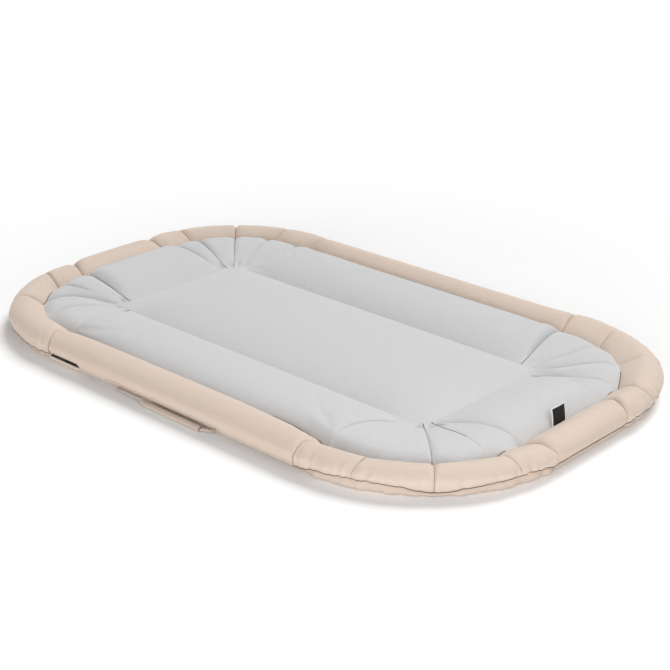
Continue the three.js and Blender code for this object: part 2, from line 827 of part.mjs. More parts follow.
// The tab stands in the seam between the foot-end bolster and the band, leaning towards the pad
const tab_frame = new THREE.Group()
const tab_seat = bolster_height * bolster_profile_shares[bolster_profile_shares.length - 1][2]
tab_frame.position.set(top_ring.half_length, -tab_offset, tab_seat + tab_thickness)
tab_frame.rotation.y = -THREE.MathUtils.degToRad(tab_lean_degrees)
lounger.add(tab_frame)
const tab_plate = new THREE.BoxGeometry(tab_thickness, tab_width, tab_height).translate(0, 0, tab_height / 2)
addPiece('woven_tab', tab_plate, black_cloth(), tab_frame)

export default lounger
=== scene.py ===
"""A soft infant lounger laid flat: its cloth, seams, zip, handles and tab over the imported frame."""

import math
import random

import bmesh
import bpy
import numpy as np
from bpy.props import FloatProperty, FloatVectorProperty, PointerProperty
from mathutils import Matrix, Vector


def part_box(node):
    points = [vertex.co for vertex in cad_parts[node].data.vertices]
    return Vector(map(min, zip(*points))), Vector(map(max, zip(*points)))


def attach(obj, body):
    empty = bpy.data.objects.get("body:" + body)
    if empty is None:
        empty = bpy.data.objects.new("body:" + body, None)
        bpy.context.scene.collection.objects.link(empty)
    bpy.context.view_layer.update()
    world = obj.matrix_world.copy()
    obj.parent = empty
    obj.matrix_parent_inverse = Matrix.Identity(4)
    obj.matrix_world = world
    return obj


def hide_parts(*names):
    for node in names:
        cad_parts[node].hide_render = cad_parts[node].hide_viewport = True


bl_info = {
    "name": "Infant Lounger",
    "version": (1, 0, 0),
    "blender": (4, 5, 0),
    "location": "View3D > Sidebar > Lounger",
    "description": "Sews a flat infant lounger from stuffed chambers, skirt, zip, handles and tab",
    "category": "Object",
}

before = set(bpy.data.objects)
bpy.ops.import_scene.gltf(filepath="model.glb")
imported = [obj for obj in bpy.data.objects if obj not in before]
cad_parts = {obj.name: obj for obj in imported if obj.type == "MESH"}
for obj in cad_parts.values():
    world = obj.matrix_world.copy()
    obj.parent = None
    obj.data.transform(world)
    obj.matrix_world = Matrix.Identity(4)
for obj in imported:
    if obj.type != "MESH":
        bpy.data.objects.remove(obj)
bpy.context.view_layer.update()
MM = 0.001


def linear(hex_colour):
    """An sRGB hex colour as the linear values that Blender's sockets take."""
    parts = [int(hex_colour[at : at + 2], 16) / 255 for at in (1, 3, 5)]
    curve = [p / 12.92 if p <= 0.04045 else ((p + 0.055) / 1.055) ** 2.4 for p in parts]
    return (*curve, 1.0)


# Sizes and colours that a user would change


def length(name, description, default):
    """A length in metres, given in millimetres."""
    return FloatProperty(
        name=name, description=description, default=default * MM, min=0, unit="LENGTH"
    )


def colour(name, description, hex_colour):
    """A colour, given as sRGB hex."""
    return FloatVectorProperty(
        name=name,
        description=description,
        subtype="COLOR",
        size=4,
        min=0,
        max=1,
        default=linear(hex_colour),
    )


def factor(name, description, default, high=2.0):
    """A plain number, 1 being as sewn."""
    return FloatProperty(
        name=name, description=description, default=default, min=0, max=high, subtype="FACTOR"
    )


def strength(name, description, default):
    """How strong a light is."""
    return FloatProperty(name=name, description=description, default=default, min=0)


class LoungerSizes(bpy.types.PropertyGroup):
    """Lengths of the sewn pattern"""

    body_length: length("Length", "Hem to hem along the lounger", 990)
    body_width: length("Width", "Hem to hem across the lounger", 606)
    outer_corner: length("Outer corner", "Radius of the outline in plan", 232)
    top_corner: length("Top corner", "Radius of the white top in plan", 152)
    pad_corner: length("Pad corner", "Radius of the pad's corners", 24)
    band: length("Band width", "Of the beige outer band", 53)
    end_bolster: length("End bolster", "Width of the bolsters at head and foot", 130)
    side_bolster: length("Side bolster", "Width of the bolsters on the sides", 125.5)
    bolster_height: length("Bolster height", "Crest of the white bolsters", 46)
    band_height: length("Band height", "Crest of the outer band", 42)
    edge_height: length("Edge height", "Seam between white and beige in a corner's seam", 24.5)
    pad_crown: length("Pad crown", "Middle of the mattress pad", 34)
    valley: length("Valley", "Seam between the pad and the bolsters", 20)
    cloth_step: length("Cloth step", "Distance between points of the finished cloth", 2.6)
    settle_step: length("Settling step", "Distance between points while the cloth settles", 4.2)


class LoungerCloths(bpy.types.PropertyGroup):
    """Colours of the cloths and trims"""

    jersey: colour("White jersey", "Cloth of the pad, bolsters and gussets", "#d3d3d4")
    sateen: colour("Beige sateen", "Cloth of the band, skirt and handles", "#dccabb")
    lining: colour("Base cotton", "Cloth underneath", "#cdbbab")
    # The seam thread's deep brown also stands as painted shade in the creases that the seams sit in
    thread: colour("Seam thread", "Thread in the dark seams", "#5d4d42")
    topstitch: colour("Topstitch thread", "Thread along the hem", "#8d7563")
    tape: colour("Zip tape", "Tape and teeth of the zip", "#26221f")
    tab: colour("Tab", "Ground of the woven tab", "#0d0d0d")
    tab_edge: colour("Tab edge", "Border of the woven tab", "#f1f0ec")


class LoungerFullness(bpy.types.PropertyGroup):
    """How the stuffing and the sewing draw the cloth"""

    crease: factor("Crease depth", "Depth of the radial creases", 1.0)
    ease: factor("Ease", "Spare cloth that the seams gather up", 1.0)
    dart: length("Dart", "Depth of the small darts at the pad's corners", 1.1)


class LoungerLight(bpy.types.PropertyGroup):
    """The studio"""

    front: strength("Front light", "Strength of the front lamp", 1.5)
    back: strength("Back light", "Strength of the back lamp", 2.35)
    softbox: strength("Softbox", "Power of the panel at the foot", 14)
    fill: strength("Fill light", "Strength of the room light", 0.2)
    floor: colour("Floor", "Colour of the studio floor", "#ffffff")


def fullness_settings():
    """What a user has set for the stuffing and the sewing."""
    return bpy.context.scene.lounger_fullness


# Materials


def add_node(tree, kind, inputs=None, **settings):
    """Adds one node, with its settings, and a value or a link for each named input."""
    node = tree.nodes.new(kind)
    for name, value in settings.items():
        setattr(node, name, value)
    for key, value in (inputs or {}).items():
        if isinstance(value, bpy.types.NodeSocket):
            tree.links.new(value, node.inputs[key])
        else:
            node.inputs[key].default_value = value
    return node


def new_material(name):
    """An empty material: itself and its node tree."""
    material = bpy.data.materials.get(name)
    if material:
        bpy.data.materials.remove(material)
    material = bpy.data.materials.new(name)
    material.use_nodes = True
    material.node_tree.nodes.clear()
    return material, material.node_tree


# The soft unevenness of every cloth, over its weave: the size of a dent and the detail of its
# noise, then the relief's height and strength; sizes and heights are in millimetres
PULLED = (26, 2.0, 1.1, 0.35)
CRUMPLED = (7, 3.0, 0.25, 0.4)
WEAVE_HEIGHT = 0.04


def cloth_material(name, base, weave, roughness, sheen, turn=0.0):
    """A woven or knitted cloth: threads in two directions, slubs, a drawn surface and a soft sheen.

    weave holds the two thread pitches and the slub's size in millimetres. Real threads are some
    0.3 mm apart, finer than the picture resolves, so the pitches are coarser than life.
    """
    material, tree = new_material(name)
    place = add_node(tree, "ShaderNodeTexCoord").outputs["Object"]
    inputs = {"Vector": place, "Rotation": (0, 0, turn)}
    turned = add_node(tree, "ShaderNodeMapping", inputs).outputs["Vector"]
    threads = {}
    for way, (axis, pitch) in enumerate(zip("XY", weave)):
        inputs = {"Vector": turned, "Scale": math.pi / 10 / (pitch * MM), "Distortion": 0.4}
        wave = add_node(
            tree, "ShaderNodeTexWave", inputs, wave_type="BANDS", bands_direction=axis
        )
        threads[way] = wave.outputs["Fac"]
    weaving = add_node(tree, "ShaderNodeMath", threads, operation="ADD").outputs[0]
    inputs = {"Height": weaving, "Distance": WEAVE_HEIGHT * MM, "Strength": 0.5}
    relief = add_node(tree, "ShaderNodeBump", inputs).outputs["Normal"]
    for size, detail, height, share in (PULLED, CRUMPLED):
        inputs = {"Vector": place, "Scale": 1 / (size * MM), "Detail": detail}
        dents = add_node(tree, "ShaderNodeTexNoise", inputs).outputs["Fac"]
        inputs = {"Height": dents, "Distance": height * MM, "Strength": share, "Normal": relief}
        relief = add_node(tree, "ShaderNodeBump", inputs).outputs["Normal"]
    inputs = {"Vector": place, "Scale": 1 / (weave[2] * MM), "Detail": 3.0}
    slubs = add_node(tree, "ShaderNodeTexNoise", inputs).outputs["Fac"]
    darker = [0.965 * part for part in base[:3]]
    lighter = [min(1.015 * part, 1) for part in base[:3]]
    inputs = {"Factor": slubs, 6: (*darker, 1), 7: (*lighter, 1)}
    shade = add_node(tree, "ShaderNodeMix", inputs, data_type="RGBA").outputs[2]
    finish = {
        "Base Color": shade,
        "Roughness": roughness,
        "Sheen Weight": sheen,
        "Sheen Roughness": 0.45,
        "Specular IOR Level": 0.25,
        "Normal": relief,
    }
    shader = add_node(tree, "ShaderNodeBsdfPrincipled", finish)
    add_node(tree, "ShaderNodeOutputMaterial", {"Surface": shader.outputs["BSDF"]})
    return material


def smooth_material(name, base, roughness, metallic=0.0, grain=0.25, relief=0.02):
    """A hard or spun finish with a fine grain: its size and height are in millimetres."""
    material, tree = new_material(name)
    place = add_node(tree, "ShaderNodeTexCoord").outputs["Object"]
    inputs = {"Vector": place, "Scale": 1 / (grain * MM), "Detail": 2.0}
    speck = add_node(tree, "ShaderNodeTexNoise", inputs).outputs["Fac"]
    darker = [0.85 * part for part in base[:3]]
    inputs = {"Factor": speck, 6: (*darker, 1), 7: (*base[:3], 1)}
    shade = add_node(tree, "ShaderNodeMix", inputs, data_type="RGBA").outputs[2]
    inputs = {"Height": speck, "Distance": relief * MM, "Strength": 0.5}
    finish = {
        "Base Color": shade,
        "Roughness": roughness,
        "Metallic": metallic,
        "Normal": add_node(tree, "ShaderNodeBump", inputs).outputs["Normal"],
    }
    shader = add_node(tree, "ShaderNodeBsdfPrincipled", finish)
    add_node(tree, "ShaderNodeOutputMaterial", {"Surface": shader.outputs["BSDF"]})
    return material


# The finishes: how each is made, its colour as a hex or as one of the settings, and the rest
FINISHES = {
    # Knitted cotton jersey: matt white with fine wales, brushed so that it has a soft bloom
    "cotton_jersey": (cloth_material, "jersey", (1.5, 2.2, 9), 0.9, 0.2),
    # Cotton sateen: a smooth, tight twill whose floats give it a low sheen
    "cotton_sateen": (cloth_material, "sateen", (1.3, 1.3, 14), 0.7, 0.12, 0.785),
    # Plain-woven cotton lining: flat and dull
    "cotton_lining": (cloth_material, "lining", (1.6, 1.6, 8), 0.85, 0.1),
    # Polyurethane foam: open-celled and matt, seen only when the cover is taken off
    "cut_foam": (smooth_material, "#efe9dc", 0.95, 0.0, 1.6, 0.4),
    # Spun polyester thread: brown, slightly glossy on its twist; laid in the seams' creases, its dark
    # is also painted shade there
    "seam_thread": (smooth_material, "thread", 0.6),
    # The same thread in a lighter brown, for the line of stitches along the hem
    "topstitch_thread": (smooth_material, "topstitch", 0.6),
    # Painted shade for the unlit inside of the cloth sleeve: a brown much deeper than the cloth
    # outside
    "sleeve_inside": (cloth_material, "#3d2f27", (1.6, 1.6, 8), 0.9, 0.0),
    # Polyester zip tape: black, ribbed along its length
    "zip_tape": (cloth_material, "tape", (0.9, 0.9, 5), 0.7, 0.1),
    # Moulded acetal teeth: black with a dull shine
    "zip_acetal": (smooth_material, "tape", 0.45),
    # Nickel-plated zinc casting: bright
    "plated_zinc": (smooth_material, "#c3c8cf", 0.28, 1.0),
    # Black enamel on the puller
    "black_enamel": (smooth_material, "#17181a", 0.4),
    # Damask: a black satin ground, ribbed along the weft
    "damask_black": (cloth_material, "tab", (1.0, 0.8, 4), 0.62, 0.05),
    # The damask's pale border, woven with the ground
    "damask_edge": (cloth_material, "tab_edge", (1.0, 0.8, 4), 0.7, 0.1),
}


def material_of(name):
    """A finish by name, made the first time that it is asked for."""
    made = bpy.data.materials.get(name)
    if made:
        return made
    make, base, *rest = FINISHES[name]
    cloths = bpy.context.scene.lounger_cloths
    return make(name, linear(base) if base.startswith("#") else getattr(cloths, base), *rest)


# The sewing pattern in plan, in millimetres

# The turn of each of a corner's three middle seams, and how far the first and last cross each ring
# ahead of the bend and past its end
SEAM_TURNS = (18, 44, 72)
SETBACKS = {"pad": (5, 2), "top": (27, 11), "hem": (11, -7)}


class Ring:
    """A rectangle with round corners, and the places where the five seams of a corner cross it."""

    def __init__(self, half_length, half_width, radius, setback):
        self.half = np.array([half_length, half_width])
        self.radius = radius
        self.bend = radius * math.pi / 2
        turns = [radius * math.radians(turn) for turn in SEAM_TURNS]
        self.seams = np.array([-setback[0], *turns, self.bend + setback[1]])

    def point(self, place):
        """Plan points at places along the ring, for the corner at +X +Y."""
        place = np.asarray(place, float)
        centre = self.half - self.radius
        turn = np.clip(place / self.radius, 0, math.pi / 2)
        x = centre[0] + self.radius * np.sin(turn) + np.minimum(place, 0)
        y = centre[1] + self.radius * np.cos(turn) - np.maximum(place - self.bend, 0)
        return np.stack([x, y], -1)


class Pattern:
    """The rings of the plan, and every size in millimetres."""

    def __init__(self):
        group = bpy.context.scene.lounger_sizes
        self.mm = {name: getattr(group, name) / MM for name in group.__annotations__}
        mm = self.mm
        self.hem = Ring(
            mm["body_length"] / 2, mm["body_width"] / 2, mm["outer_corner"], SETBACKS["hem"]
        )
        edge = self.hem.half - mm["band"]
        self.top = Ring(*edge, mm["top_corner"], SETBACKS["top"])
        inner = edge - (mm["end_bolster"], mm["side_bolster"])
        self.pad = Ring(*inner, mm["pad_corner"], SETBACKS["pad"])

    def rings(self, side):
        """The rings inside and outside the white or the beige."""
        return (self.pad, self.top) if side == "white" else (self.top, self.hem)


def look(left, run, bow=0, thread=None):
    """How a seam looks: the fullness left in it at its inner end, middle and outer end, how far
    the stuffing's rounding runs from it, how far it bows sideways, and the stretch of it that shows
    dark thread, which is also painted shade in the seam's crease."""
    return {"left": left, "run": run, "bow": bow, "thread": thread}


# The five seams of each corner from the long side round to the end, each in the white and the beige
SEAMS = {
    "foot_near": [
        (look((0.75, 0.85, 0.6), 30, -4), look((0.45, 0.5, 0.45), 12, -6, (0, 1))),
        (look((0.75, 0.8, 0.45), 20, 3), look((0.3, 0.75, 0.3), 10, 2, (0.45, 1))),
        (look((0.2, 0.35, 0.1), 12, 0, (0, 1)), look((0.1, 0.4, 0.35), 8, 0, (0, 1))),
        (look((0.25, 0.5, 0.5), 14, 0, (0, 0.6)), look((0.35, 0.55, 0.5), 9, 0, (0, 1))),
        (look((0.62, 0.8, 0.6), 34), look((0.4, 0.3, 0.2), 14, -3, (0, 1))),
    ],
    "foot_far": [
        (look((0.2, 0.3, 0.3), 12, 0, (0, 1)), look((0.3, 0.45, 0.5), 10, 0, (0, 1))),
        (look((0.1, 0.3, 0.3), 26, 8), look((0.3, 0.8, 0.95), 10, 0, (0, 0.4))),
        (look((0.1, 0.3, 0.2), 24, 9), look((0.2, 0.9, 1.0), 16)),
        (look((0.1, 0.3, 0.3), 26, 12), look((0.3, 0.6, 0.6), 14, 6, (0, 1))),
        (look((0.5, 0.8, 0.5), 34), look((0.4, 0.15, 0.2), 12, 0, (0, 1))),
    ],
    "head_far": [
        (look((0.4, 0.5, 0.4), 34), look((0.4, 0.5, 0.5), 12, 0, (0, 1))),
        (look((0.1, 0.3, 0.2), 16), look((0.2, 0.4, 0.4), 9, 0, (0, 1))),
        (look((0.1, 0.2, 0.1), 14, 0, (0, 1)), look((0.1, 0.4, 0.4), 8, 0, (0, 1))),
        (look((0.1, 0.2, 0.1), 16, 0, (0, 1)), look((0.1, 0.3, 0.4), 9, 0, (0, 1))),
        (look((0.1, 0.3, 0.2), 24), look((0.1, 0.1, 0.2), 22, 0, (0.3, 1))),
    ],
    "head_near": [
        (look((0.4, 0.6, 0.5), 34, 0, (0, 0.3)), look((0.5, 0.5, 0.5), 12, 5, (0, 0.55))),
        (look((0.1, 0.3, 0.2), 30, 10), look((0.2, 0.8, 1.0), 16)),
        (look((0.1, 0.2, 0.0), 26, 8), look((0.0, 0.6, 0.9), 16)),
        (look((0.1, 0.2, 0.2), 22, -10), look((0.2, 0.5, 0.4), 8, 0, (0, 1))),
        (look((0.1, 0.1, 0.1), 20, 0, (0, 1)), look((0.1, 0.1, 0.15), 22, 0, (0, 1))),
    ],
}
SIGNS = {"foot_near": (1, -1), "foot_far": (1, 1), "head_far": (-1, 1), "head_near": (-1, -1)}
# How full the white gussets and the beige chambers of a corner are
STUFFING = {
    "foot_near": {"white": 0.62, "beige": 0.82},
    "foot_far": {"white": 0.7, "beige": 0.95},
    "head_far": {"white": 0.8, "beige": 1.0},
    "head_near": {"white": 0.8, "beige": 1.0},
}
# The long chambers are stuffed full
PLUMP = {"white": 1.0, "beige": 1.0}


class Chamber:
    """A white and a beige chamber between the same two seams."""

    def __init__(self, pattern, name, kind, signs, number, seams, stuffing):
        self.pattern = pattern
        self.name = name
        self.kind = kind
        self.signs = np.array(signs, float)
        self.number = number
        self.seams = seams
        self.stuffing = stuffing
        # A seam's bow points the way its corner's seams are counted, which may be against this
        # chamber's run
        self.bow_signs = {"corner": (1, 1), "side": (-1, 1), "end": (1, -1)}[kind]
        self.nodes = {
            "white": f"gusset_{name}" if kind == "corner" else f"{kind}_bolster_{name}",
            "beige": f"band_{name}" if kind == "corner" else f"{kind}_band_{name}",
        }

    def plan(self, ring, u):
        """Points on a ring at shares u of the chamber's length."""
        if self.kind == "corner":
            first, last = ring.seams[self.number], ring.seams[self.number + 1]
            return ring.point(first + (last - first) * u) * self.signs
        if self.kind == "side":
            end = ring.point(ring.seams[0])
            return np.stack([end[0] * (2 * u - 1), np.full_like(u, end[1])], -1) * self.signs
        end = ring.point(ring.seams[-1])
        return np.stack([np.full_like(u, end[0]), end[1] * (1 - 2 * u)], -1) * self.signs

    def length(self, side, v):
        """The chamber's length at shares v across it."""
        ends = [self.plan(ring, np.array([0.0, 1.0])) for ring in self.pattern.rings(side)]
        inner, outer = ends[0][1] - ends[0][0], ends[1][1] - ends[1][0]
        return np.linalg.norm(inner + (outer - inner) * v[:, None], axis=-1)

    def sideways(self, outward):
        """Unit vectors square to the outward ones that point along the chamber."""
        ends = self.plan(self.pattern.top, np.array([0.0, 1.0]))
        turned = np.stack([outward[:, 1], -outward[:, 0]], -1)
        return turned * np.sign(turned[len(turned) // 2] @ (ends[1] - ends[0]))

    def bow(self, side, u):
        """How far the chamber's stations are drawn sideways by its bowed seams."""
        first, last = (one[0 if side == "white" else 1]["bow"] for one in self.seams)
        return first * self.bow_signs[0] * (1 - u) + last * self.bow_signs[1] * u


def chambers(pattern):
    """Every chamber round the lounger."""
    found = []
    for corner, signs in SIGNS.items():
        for number in range(4):
            pair = SEAMS[corner][number : number + 2]
            name = f"{corner}_{number + 1}"
            found.append(
                Chamber(pattern, name, "corner", signs, number, pair, STUFFING[corner])
            )
    for side, sign in (("far", 1), ("near", -1)):
        pair = (SEAMS[f"head_{side}"][0], SEAMS[f"foot_{side}"][0])
        found.append(Chamber(pattern, side, "side", (1, sign), 0, pair, PLUMP))
    for end, sign in (("foot", 1), ("head", -1)):
        pair = (SEAMS[f"{end}_far"][4], SEAMS[f"{end}_near"][4])
        found.append(Chamber(pattern, end, "end", (sign, 1), 0, pair, PLUMP))
    return found


# Soft folds and short gathers in the white and the beige: the chamber, the side, points of its path
# as shares along and across, its half width, and its height at the crest
FOLDS = [
    ("foot_near_1", "white", [(0.62, 0.02), (0.5, 0.4), (0.45, 0.85)], 7, 1.6),
    ("foot_near_2", "white", [(0.45, 0.02), (0.4, 0.25), (0.3, 0.45)], 4, -1.2),
    ("foot_near_3", "white", [(0.5, 0.02), (0.55, 0.3)], 3.5, -1.3),
    ("foot_near_4", "white", [(0.45, 0.02), (0.4, 0.2)], 4, -1.2),
    ("foot_near_1", "beige", [(0.3, 1.0), (0.25, 0.62), (0.32, 0.4)], 3.5, -1.5),
    ("foot_near_1", "beige", [(0.48, 1.0), (0.46, 0.7)], 3, -1.4),
    ("foot_near_1", "beige", [(0.78, 1.0), (0.82, 0.72)], 3.5, -1.3),
    ("foot_near_2", "beige", [(0.2, 1.0), (0.27, 0.66)], 4, -1.4),
    ("foot_near_2", "beige", [(0.62, 1.0), (0.58, 0.75)], 3.5, -1.2),
    ("foot_near_3", "beige", [(0.3, 1.0), (0.36, 0.7)], 4, -1.3),
    ("foot_near_4", "beige", [(0.22, 1.0), (0.3, 0.6)], 4, -1.4),
    ("foot_near_4", "beige", [(0.7, 1.0), (0.62, 0.7)], 3.5, -1.2),
    ("foot_far_1", "white", [(0.55, 0.03), (0.7, 0.4), (0.62, 0.9)], 9, 2.2),
    ("foot_far_2", "white", [(0.3, 0.03), (0.62, 0.4), (0.6, 0.95)], 8, 2.4),
    ("foot_far_3", "white", [(0.3, 0.03), (0.6, 0.35), (0.55, 0.9)], 9, 2.6),
    ("foot_far_4", "white", [(0.3, 0.02), (0.35, 0.35), (0.2, 0.7)], 6, -1.6),
    ("foot_far_4", "beige", [(0.35, 1.0), (0.3, 0.6)], 5, -1.8),
    ("foot_far_4", "beige", [(0.72, 1.0), (0.66, 0.66)], 5, -1.8),
    ("foot_far_3", "beige", [(0.8, 1.0), (0.78, 0.66)], 6, -1.6),
    ("foot_far_2", "beige", [(0.45, 1.0), (0.5, 0.7)], 6, -1.2),
    ("head_near_1", "white", [(0.35, 0.03), (0.62, 0.35), (0.5, 0.75)], 9, 3.0),
    ("head_near_2", "white", [(0.3, 0.03), (0.55, 0.4), (0.4, 0.9)], 8, -2.2),
    ("head_near_3", "white", [(0.5, 0.03), (0.62, 0.35), (0.45, 0.8)], 10, 3.2),
    ("head_near_4", "white", [(0.55, 0.03), (0.42, 0.3), (0.4, 0.6)], 6, -2.0),
    ("head_near_2", "beige", [(0.3, 0.95), (0.36, 0.6)], 6, -1.2),
    ("head_near_3", "beige", [(0.5, 1.0), (0.46, 0.66)], 6, -1.3),
    ("head_near_1", "beige", [(0.16, 1.0), (0.2, 0.7)], 4, -1.3),
    ("head_far_1", "white", [(0.5, 0.05), (0.56, 0.5)], 8, -1.4),
    ("head_far_4", "white", [(0.4, 0.04), (0.5, 0.4)], 8, -1.8),
    ("head_far_2", "beige", [(0.5, 0.0), (0.46, 0.3)], 6, -1.1),
    ("head_far_4", "beige", [(0.6, 0.0), (0.52, 0.4)], 7, -1.5),
    ("near", "white", [(0.985, 0.02), (0.955, 0.3), (0.95, 0.6)], 8, -1.6),
    ("foot", "white", [(0.9, 0.03), (0.84, 0.3)], 8, -1.5),
    ("far", "white", [(0.02, 0.03), (0.05, 0.3), (0.055, 0.6)], 9, -1.6),
    ("head", "white", [(0.9, 0.04), (0.84, 0.35)], 9, -1.8),
    ("head", "white", [(0.1, 0.04), (0.16, 0.3)], 8, -1.4),
]


def small_gathers():
    """Short gathers that the corner seams draw, at seeded places: listed as the folds are."""
    source = random.Random(11)
    found = []
    for corner in SIGNS:
        for number in (1, 2, 3, 4):
            name = f"{corner}_{number}"
            for side, ends, count, depth in (
                ("beige", (1.0, -0.24), 8, 1.9),
                ("beige", (0.0, 0.16), 3, 0.6),
                ("white", (0.02, 0.2), 5, 1.8),
                ("white", (1.0, -0.12), 3, 0.6),
            ):
                for place in range(count):
                    u = (place + source.uniform(0.2, 0.8)) / count
                    to = ends[0] + ends[1] * source.uniform(0.5, 1.3)
                    path = [(u, ends[0]), (u + source.uniform(-0.04, 0.04), to)]
                    width = source.uniform(2.2, 3.6)
                    found.append((name, side, path, width, -depth * source.uniform(0.4, 1.2)))
    return found


GATHERS = small_gathers()
# A fold fades out over 16 mm, or over 6 mm where it starts in a seam, and over 5 mm beside a seam
FADE_OUT = 16
FADE_FROM_SEAM = 6
FADE_BESIDE_SEAM = 5


def folded(chamber, side, u, v):
    """The height that the folds and gathers add at shares along and across a chamber."""
    total = np.zeros((len(u), len(v)))
    length = chamber.length(side, v)[None]
    inner, outer = (chamber.plan(ring, np.array([0.5])) for ring in chamber.pattern.rings(side))
    width = np.linalg.norm(inner - outer)
    for name, on, path, half_width, height in FOLDS + GATHERS:
        if (name, on) != (chamber.name, side):
            continue
        path = np.array(path)
        path = path[np.argsort(path[:, 1])]
        at = np.interp(v, path[:, 1], path[:, 0])
        first, last = path[0, 1], path[-1, 1]
        reach = np.clip((v - first) * width / (FADE_FROM_SEAM if first < 0.06 else FADE_OUT), 0, 1)
        if last <= 0.97:
            reach = reach * np.clip((last - v) * width / FADE_OUT, 0, 1)
        away = (u[:, None] - at[None]) * length / half_width
        beside = np.clip(np.minimum(u, 1 - u)[:, None] * length / FADE_BESIDE_SEAM, 0, 1)
        total += height * np.exp(-away * away) * reach[None] * beside
    return total * fullness_settings().crease


def rounding(distance, run):
    """0 on a seam, rising round to 1 at a run from it."""
    near = 1 - np.clip(distance / np.maximum(run, 1e-6), 0, 1)
    return np.sqrt(np.maximum(1 - near * near, 0))


def swelling(distance, run):
    """0 on a seam, rising gently to 1 at a run from it."""
    near = 1 - np.clip(distance / run, 0, 1)
    return 1 - near * near


def eased(share):
    """A share from 0 to 1 that starts and ends gently."""
    return share * share * (3 - 2 * share)


def through(at, values, x):
    """Smooth curves through values given at places, read at x, along the values' last axis."""
    at, values = np.asarray(at, float), np.asarray(values, float)
    step = np.diff(values) / np.diff(at)
    inner = (step[..., 1:] + step[..., :-1]) / 2
    slope = np.concatenate([step[..., :1], inner, step[..., -1:]], -1)
    i = np.clip(np.searchsorted(at, x) - 1, 0, len(at) - 2)
    width = at[i + 1] - at[i]
    t = (x - at[i]) / width
    rise = values[..., i + 1] - values[..., i]
    a = slope[..., i] * width - rise
    b = rise - slope[..., i + 1] * width
    return values[..., i] + rise * t + t * (1 - t) * (a * (1 - t) + b * t)


def resampled(grid, at, to):
    """A grid given at shares at[0] along and at[1] across, read at the shares to[0] and to[1]."""
    along = through(at[0], np.moveaxis(grid, 0, -1), to[0])
    return np.moveaxis(through(at[1], np.moveaxis(along, 0, -1), to[1]), (0, 1), (2, 0))


# Sections across the chambers: the share across, and the height in a seam and at the crest
WHITE_SECTION = np.array(
    [
        [0, 0.435, 0.44],
        [0.06, 0.45, 0.505],
        [0.18, 0.48, 0.66],
        [0.36, 0.53, 0.86],
        [0.57, 0.57, 0.98],
        [0.75, 0.57, 0.99],
        [0.88, 0.54, 0.88],
        [0.96, 0.49, 0.71],
        [1, 0.46, 0.6],
    ]
)
BAND_SECTION = np.array(
    [
        [0, 0.5, 0.66],
        [0.1, 0.54, 0.76],
        [0.3, 0.61, 0.89],
        [0.54, 0.66, 1],
        [0.78, 0.65, 0.92],
        [0.93, 0.58, 0.77],
        [1, 0.53, 0.63],
    ]
)
# The sizes that the band's section, from the white top to the groove, was drawn for
DRAWN_BAND, DRAWN_CREST, DRAWN_HEM, DRAWN_EDGE = 53, 42, 12, 24.5
# The height of the hem round each corner, at its seams and halfway between them
HEM_LINE = {
    "foot_near": (11, 14, 16.5, 16, 8.5, 14.5, 16.5, 15.5, 10.5),
    "foot_far": (12, 14, 14, 15, 14, 15.5, 12, 15.5, 10.5),
    "head_far": (12, 13, 12, 13, 11.5, 13, 11.5, 13, 11),
    "head_near": (11, 11, 10, 11, 10, 11.5, 9.5, 11, 10.5),
}
# Its height in the middle of the sides, and where the handle swings up under the near lip: the
# height, half the handle's width, and the stretch over which the hem rises to clear it
HEM_MIDDLE = {"near": 10.6, "far": 12, "foot": 12.5, "head": 12}
HANDLE_CLEAR = 14.6
HANDLE_HALF = 120
HANDLE_RISE = 12
# From its widest point the band turns under to the hem: depth in, the share of the fall from the
# side to the hem, and the rise from the hem to the groove inside
SHUT_LIP = np.array(
    [
        [0.2, 0.64, 0],
        [1.1, 0.32, 0],
        [2.8, 0.09, 0],
        [4.8, 0, 0],
        [6.6, 0, 0.09],
        [8.8, 0, 0.4],
        [11, 0, 0.7],
        [13, 0, 1],
    ]
)
# Along the zip it hangs as a flap in front of the slider's channel
ZIP_LIP = np.array(
    [
        [0, 0.66, 0],
        [0.1, 0.33, 0],
        [0.35, 0.08, 0],
        [0.95, 0, 0],
        [1.6, 0, 0.1],
        [-1.1, 0, 0.95],
        [9.2, 0, 1.15],
        [14, 0, 1],
    ]
)
# The groove behind the hem: its height, and its depth in from the outline
GROOVE_HEIGHT = 15.8
GROOVE_DEPTH = 21.8
# The flat underside of every chamber, a little above the base cloth
UNDERSIDE = 2.3
# How far sewn edges draw back from the seam's line, so that neighbours don't share their faces
SEAM_GAP = 0.05
# The rows that follow the side where it swells past the plan's hem; the rest stay where they are
FOLLOWS = np.array([1, 1, 1, 1, 1, 0, 0, 0])
# The row that is the hem
HEM_ROW = 3
# The seam between white and beige at the same nine places, and in the middle of each side
EDGE_LINE = {
    "foot_near": (11, 20, 22, 24, 18, 25, 18.5, 27, 19.5),
    "foot_far": (23, 28, 25, 28.5, 25, 28, 19.5, 26, 20),
    "head_far": (20, 26, 21.5, 27, 23, 27, 20, 25.5, 20),
    "head_near": (23, 28, 28, 28, 22.5, 26.5, 20, 26, 20),
}
EDGE_MIDDLE = {"near": 30, "far": 29.5, "foot": 25.5, "head": 28}
# How far that seam is set outward at the nine places, where the white sags over the band
EDGE_OUT = {**dict.fromkeys(SIGNS, (0,) * 9), "foot_near": (7, 2, 1, 0, 0, 0, 0, 0, 0)}
# How far the sewn outline lies outside a plain rounded rectangle at the nine places
OUTLINE = {
    "foot_near": (0, 1, 0, 0, 0, 1, 0, 0, 0),
    "foot_far": (9, 11, 11, 13, 12, 9.5, 4, 2, -2),
    "head_far": (-3, 0, 0, 2, 1, 4, 0, 1, -8),
    "head_near": (0, 1, 0, 3, 1, 0, -4, -8, -11),
}
# How far the stuffed band pushes the seam between white and beige in over the white
EDGE_PUSH = 7
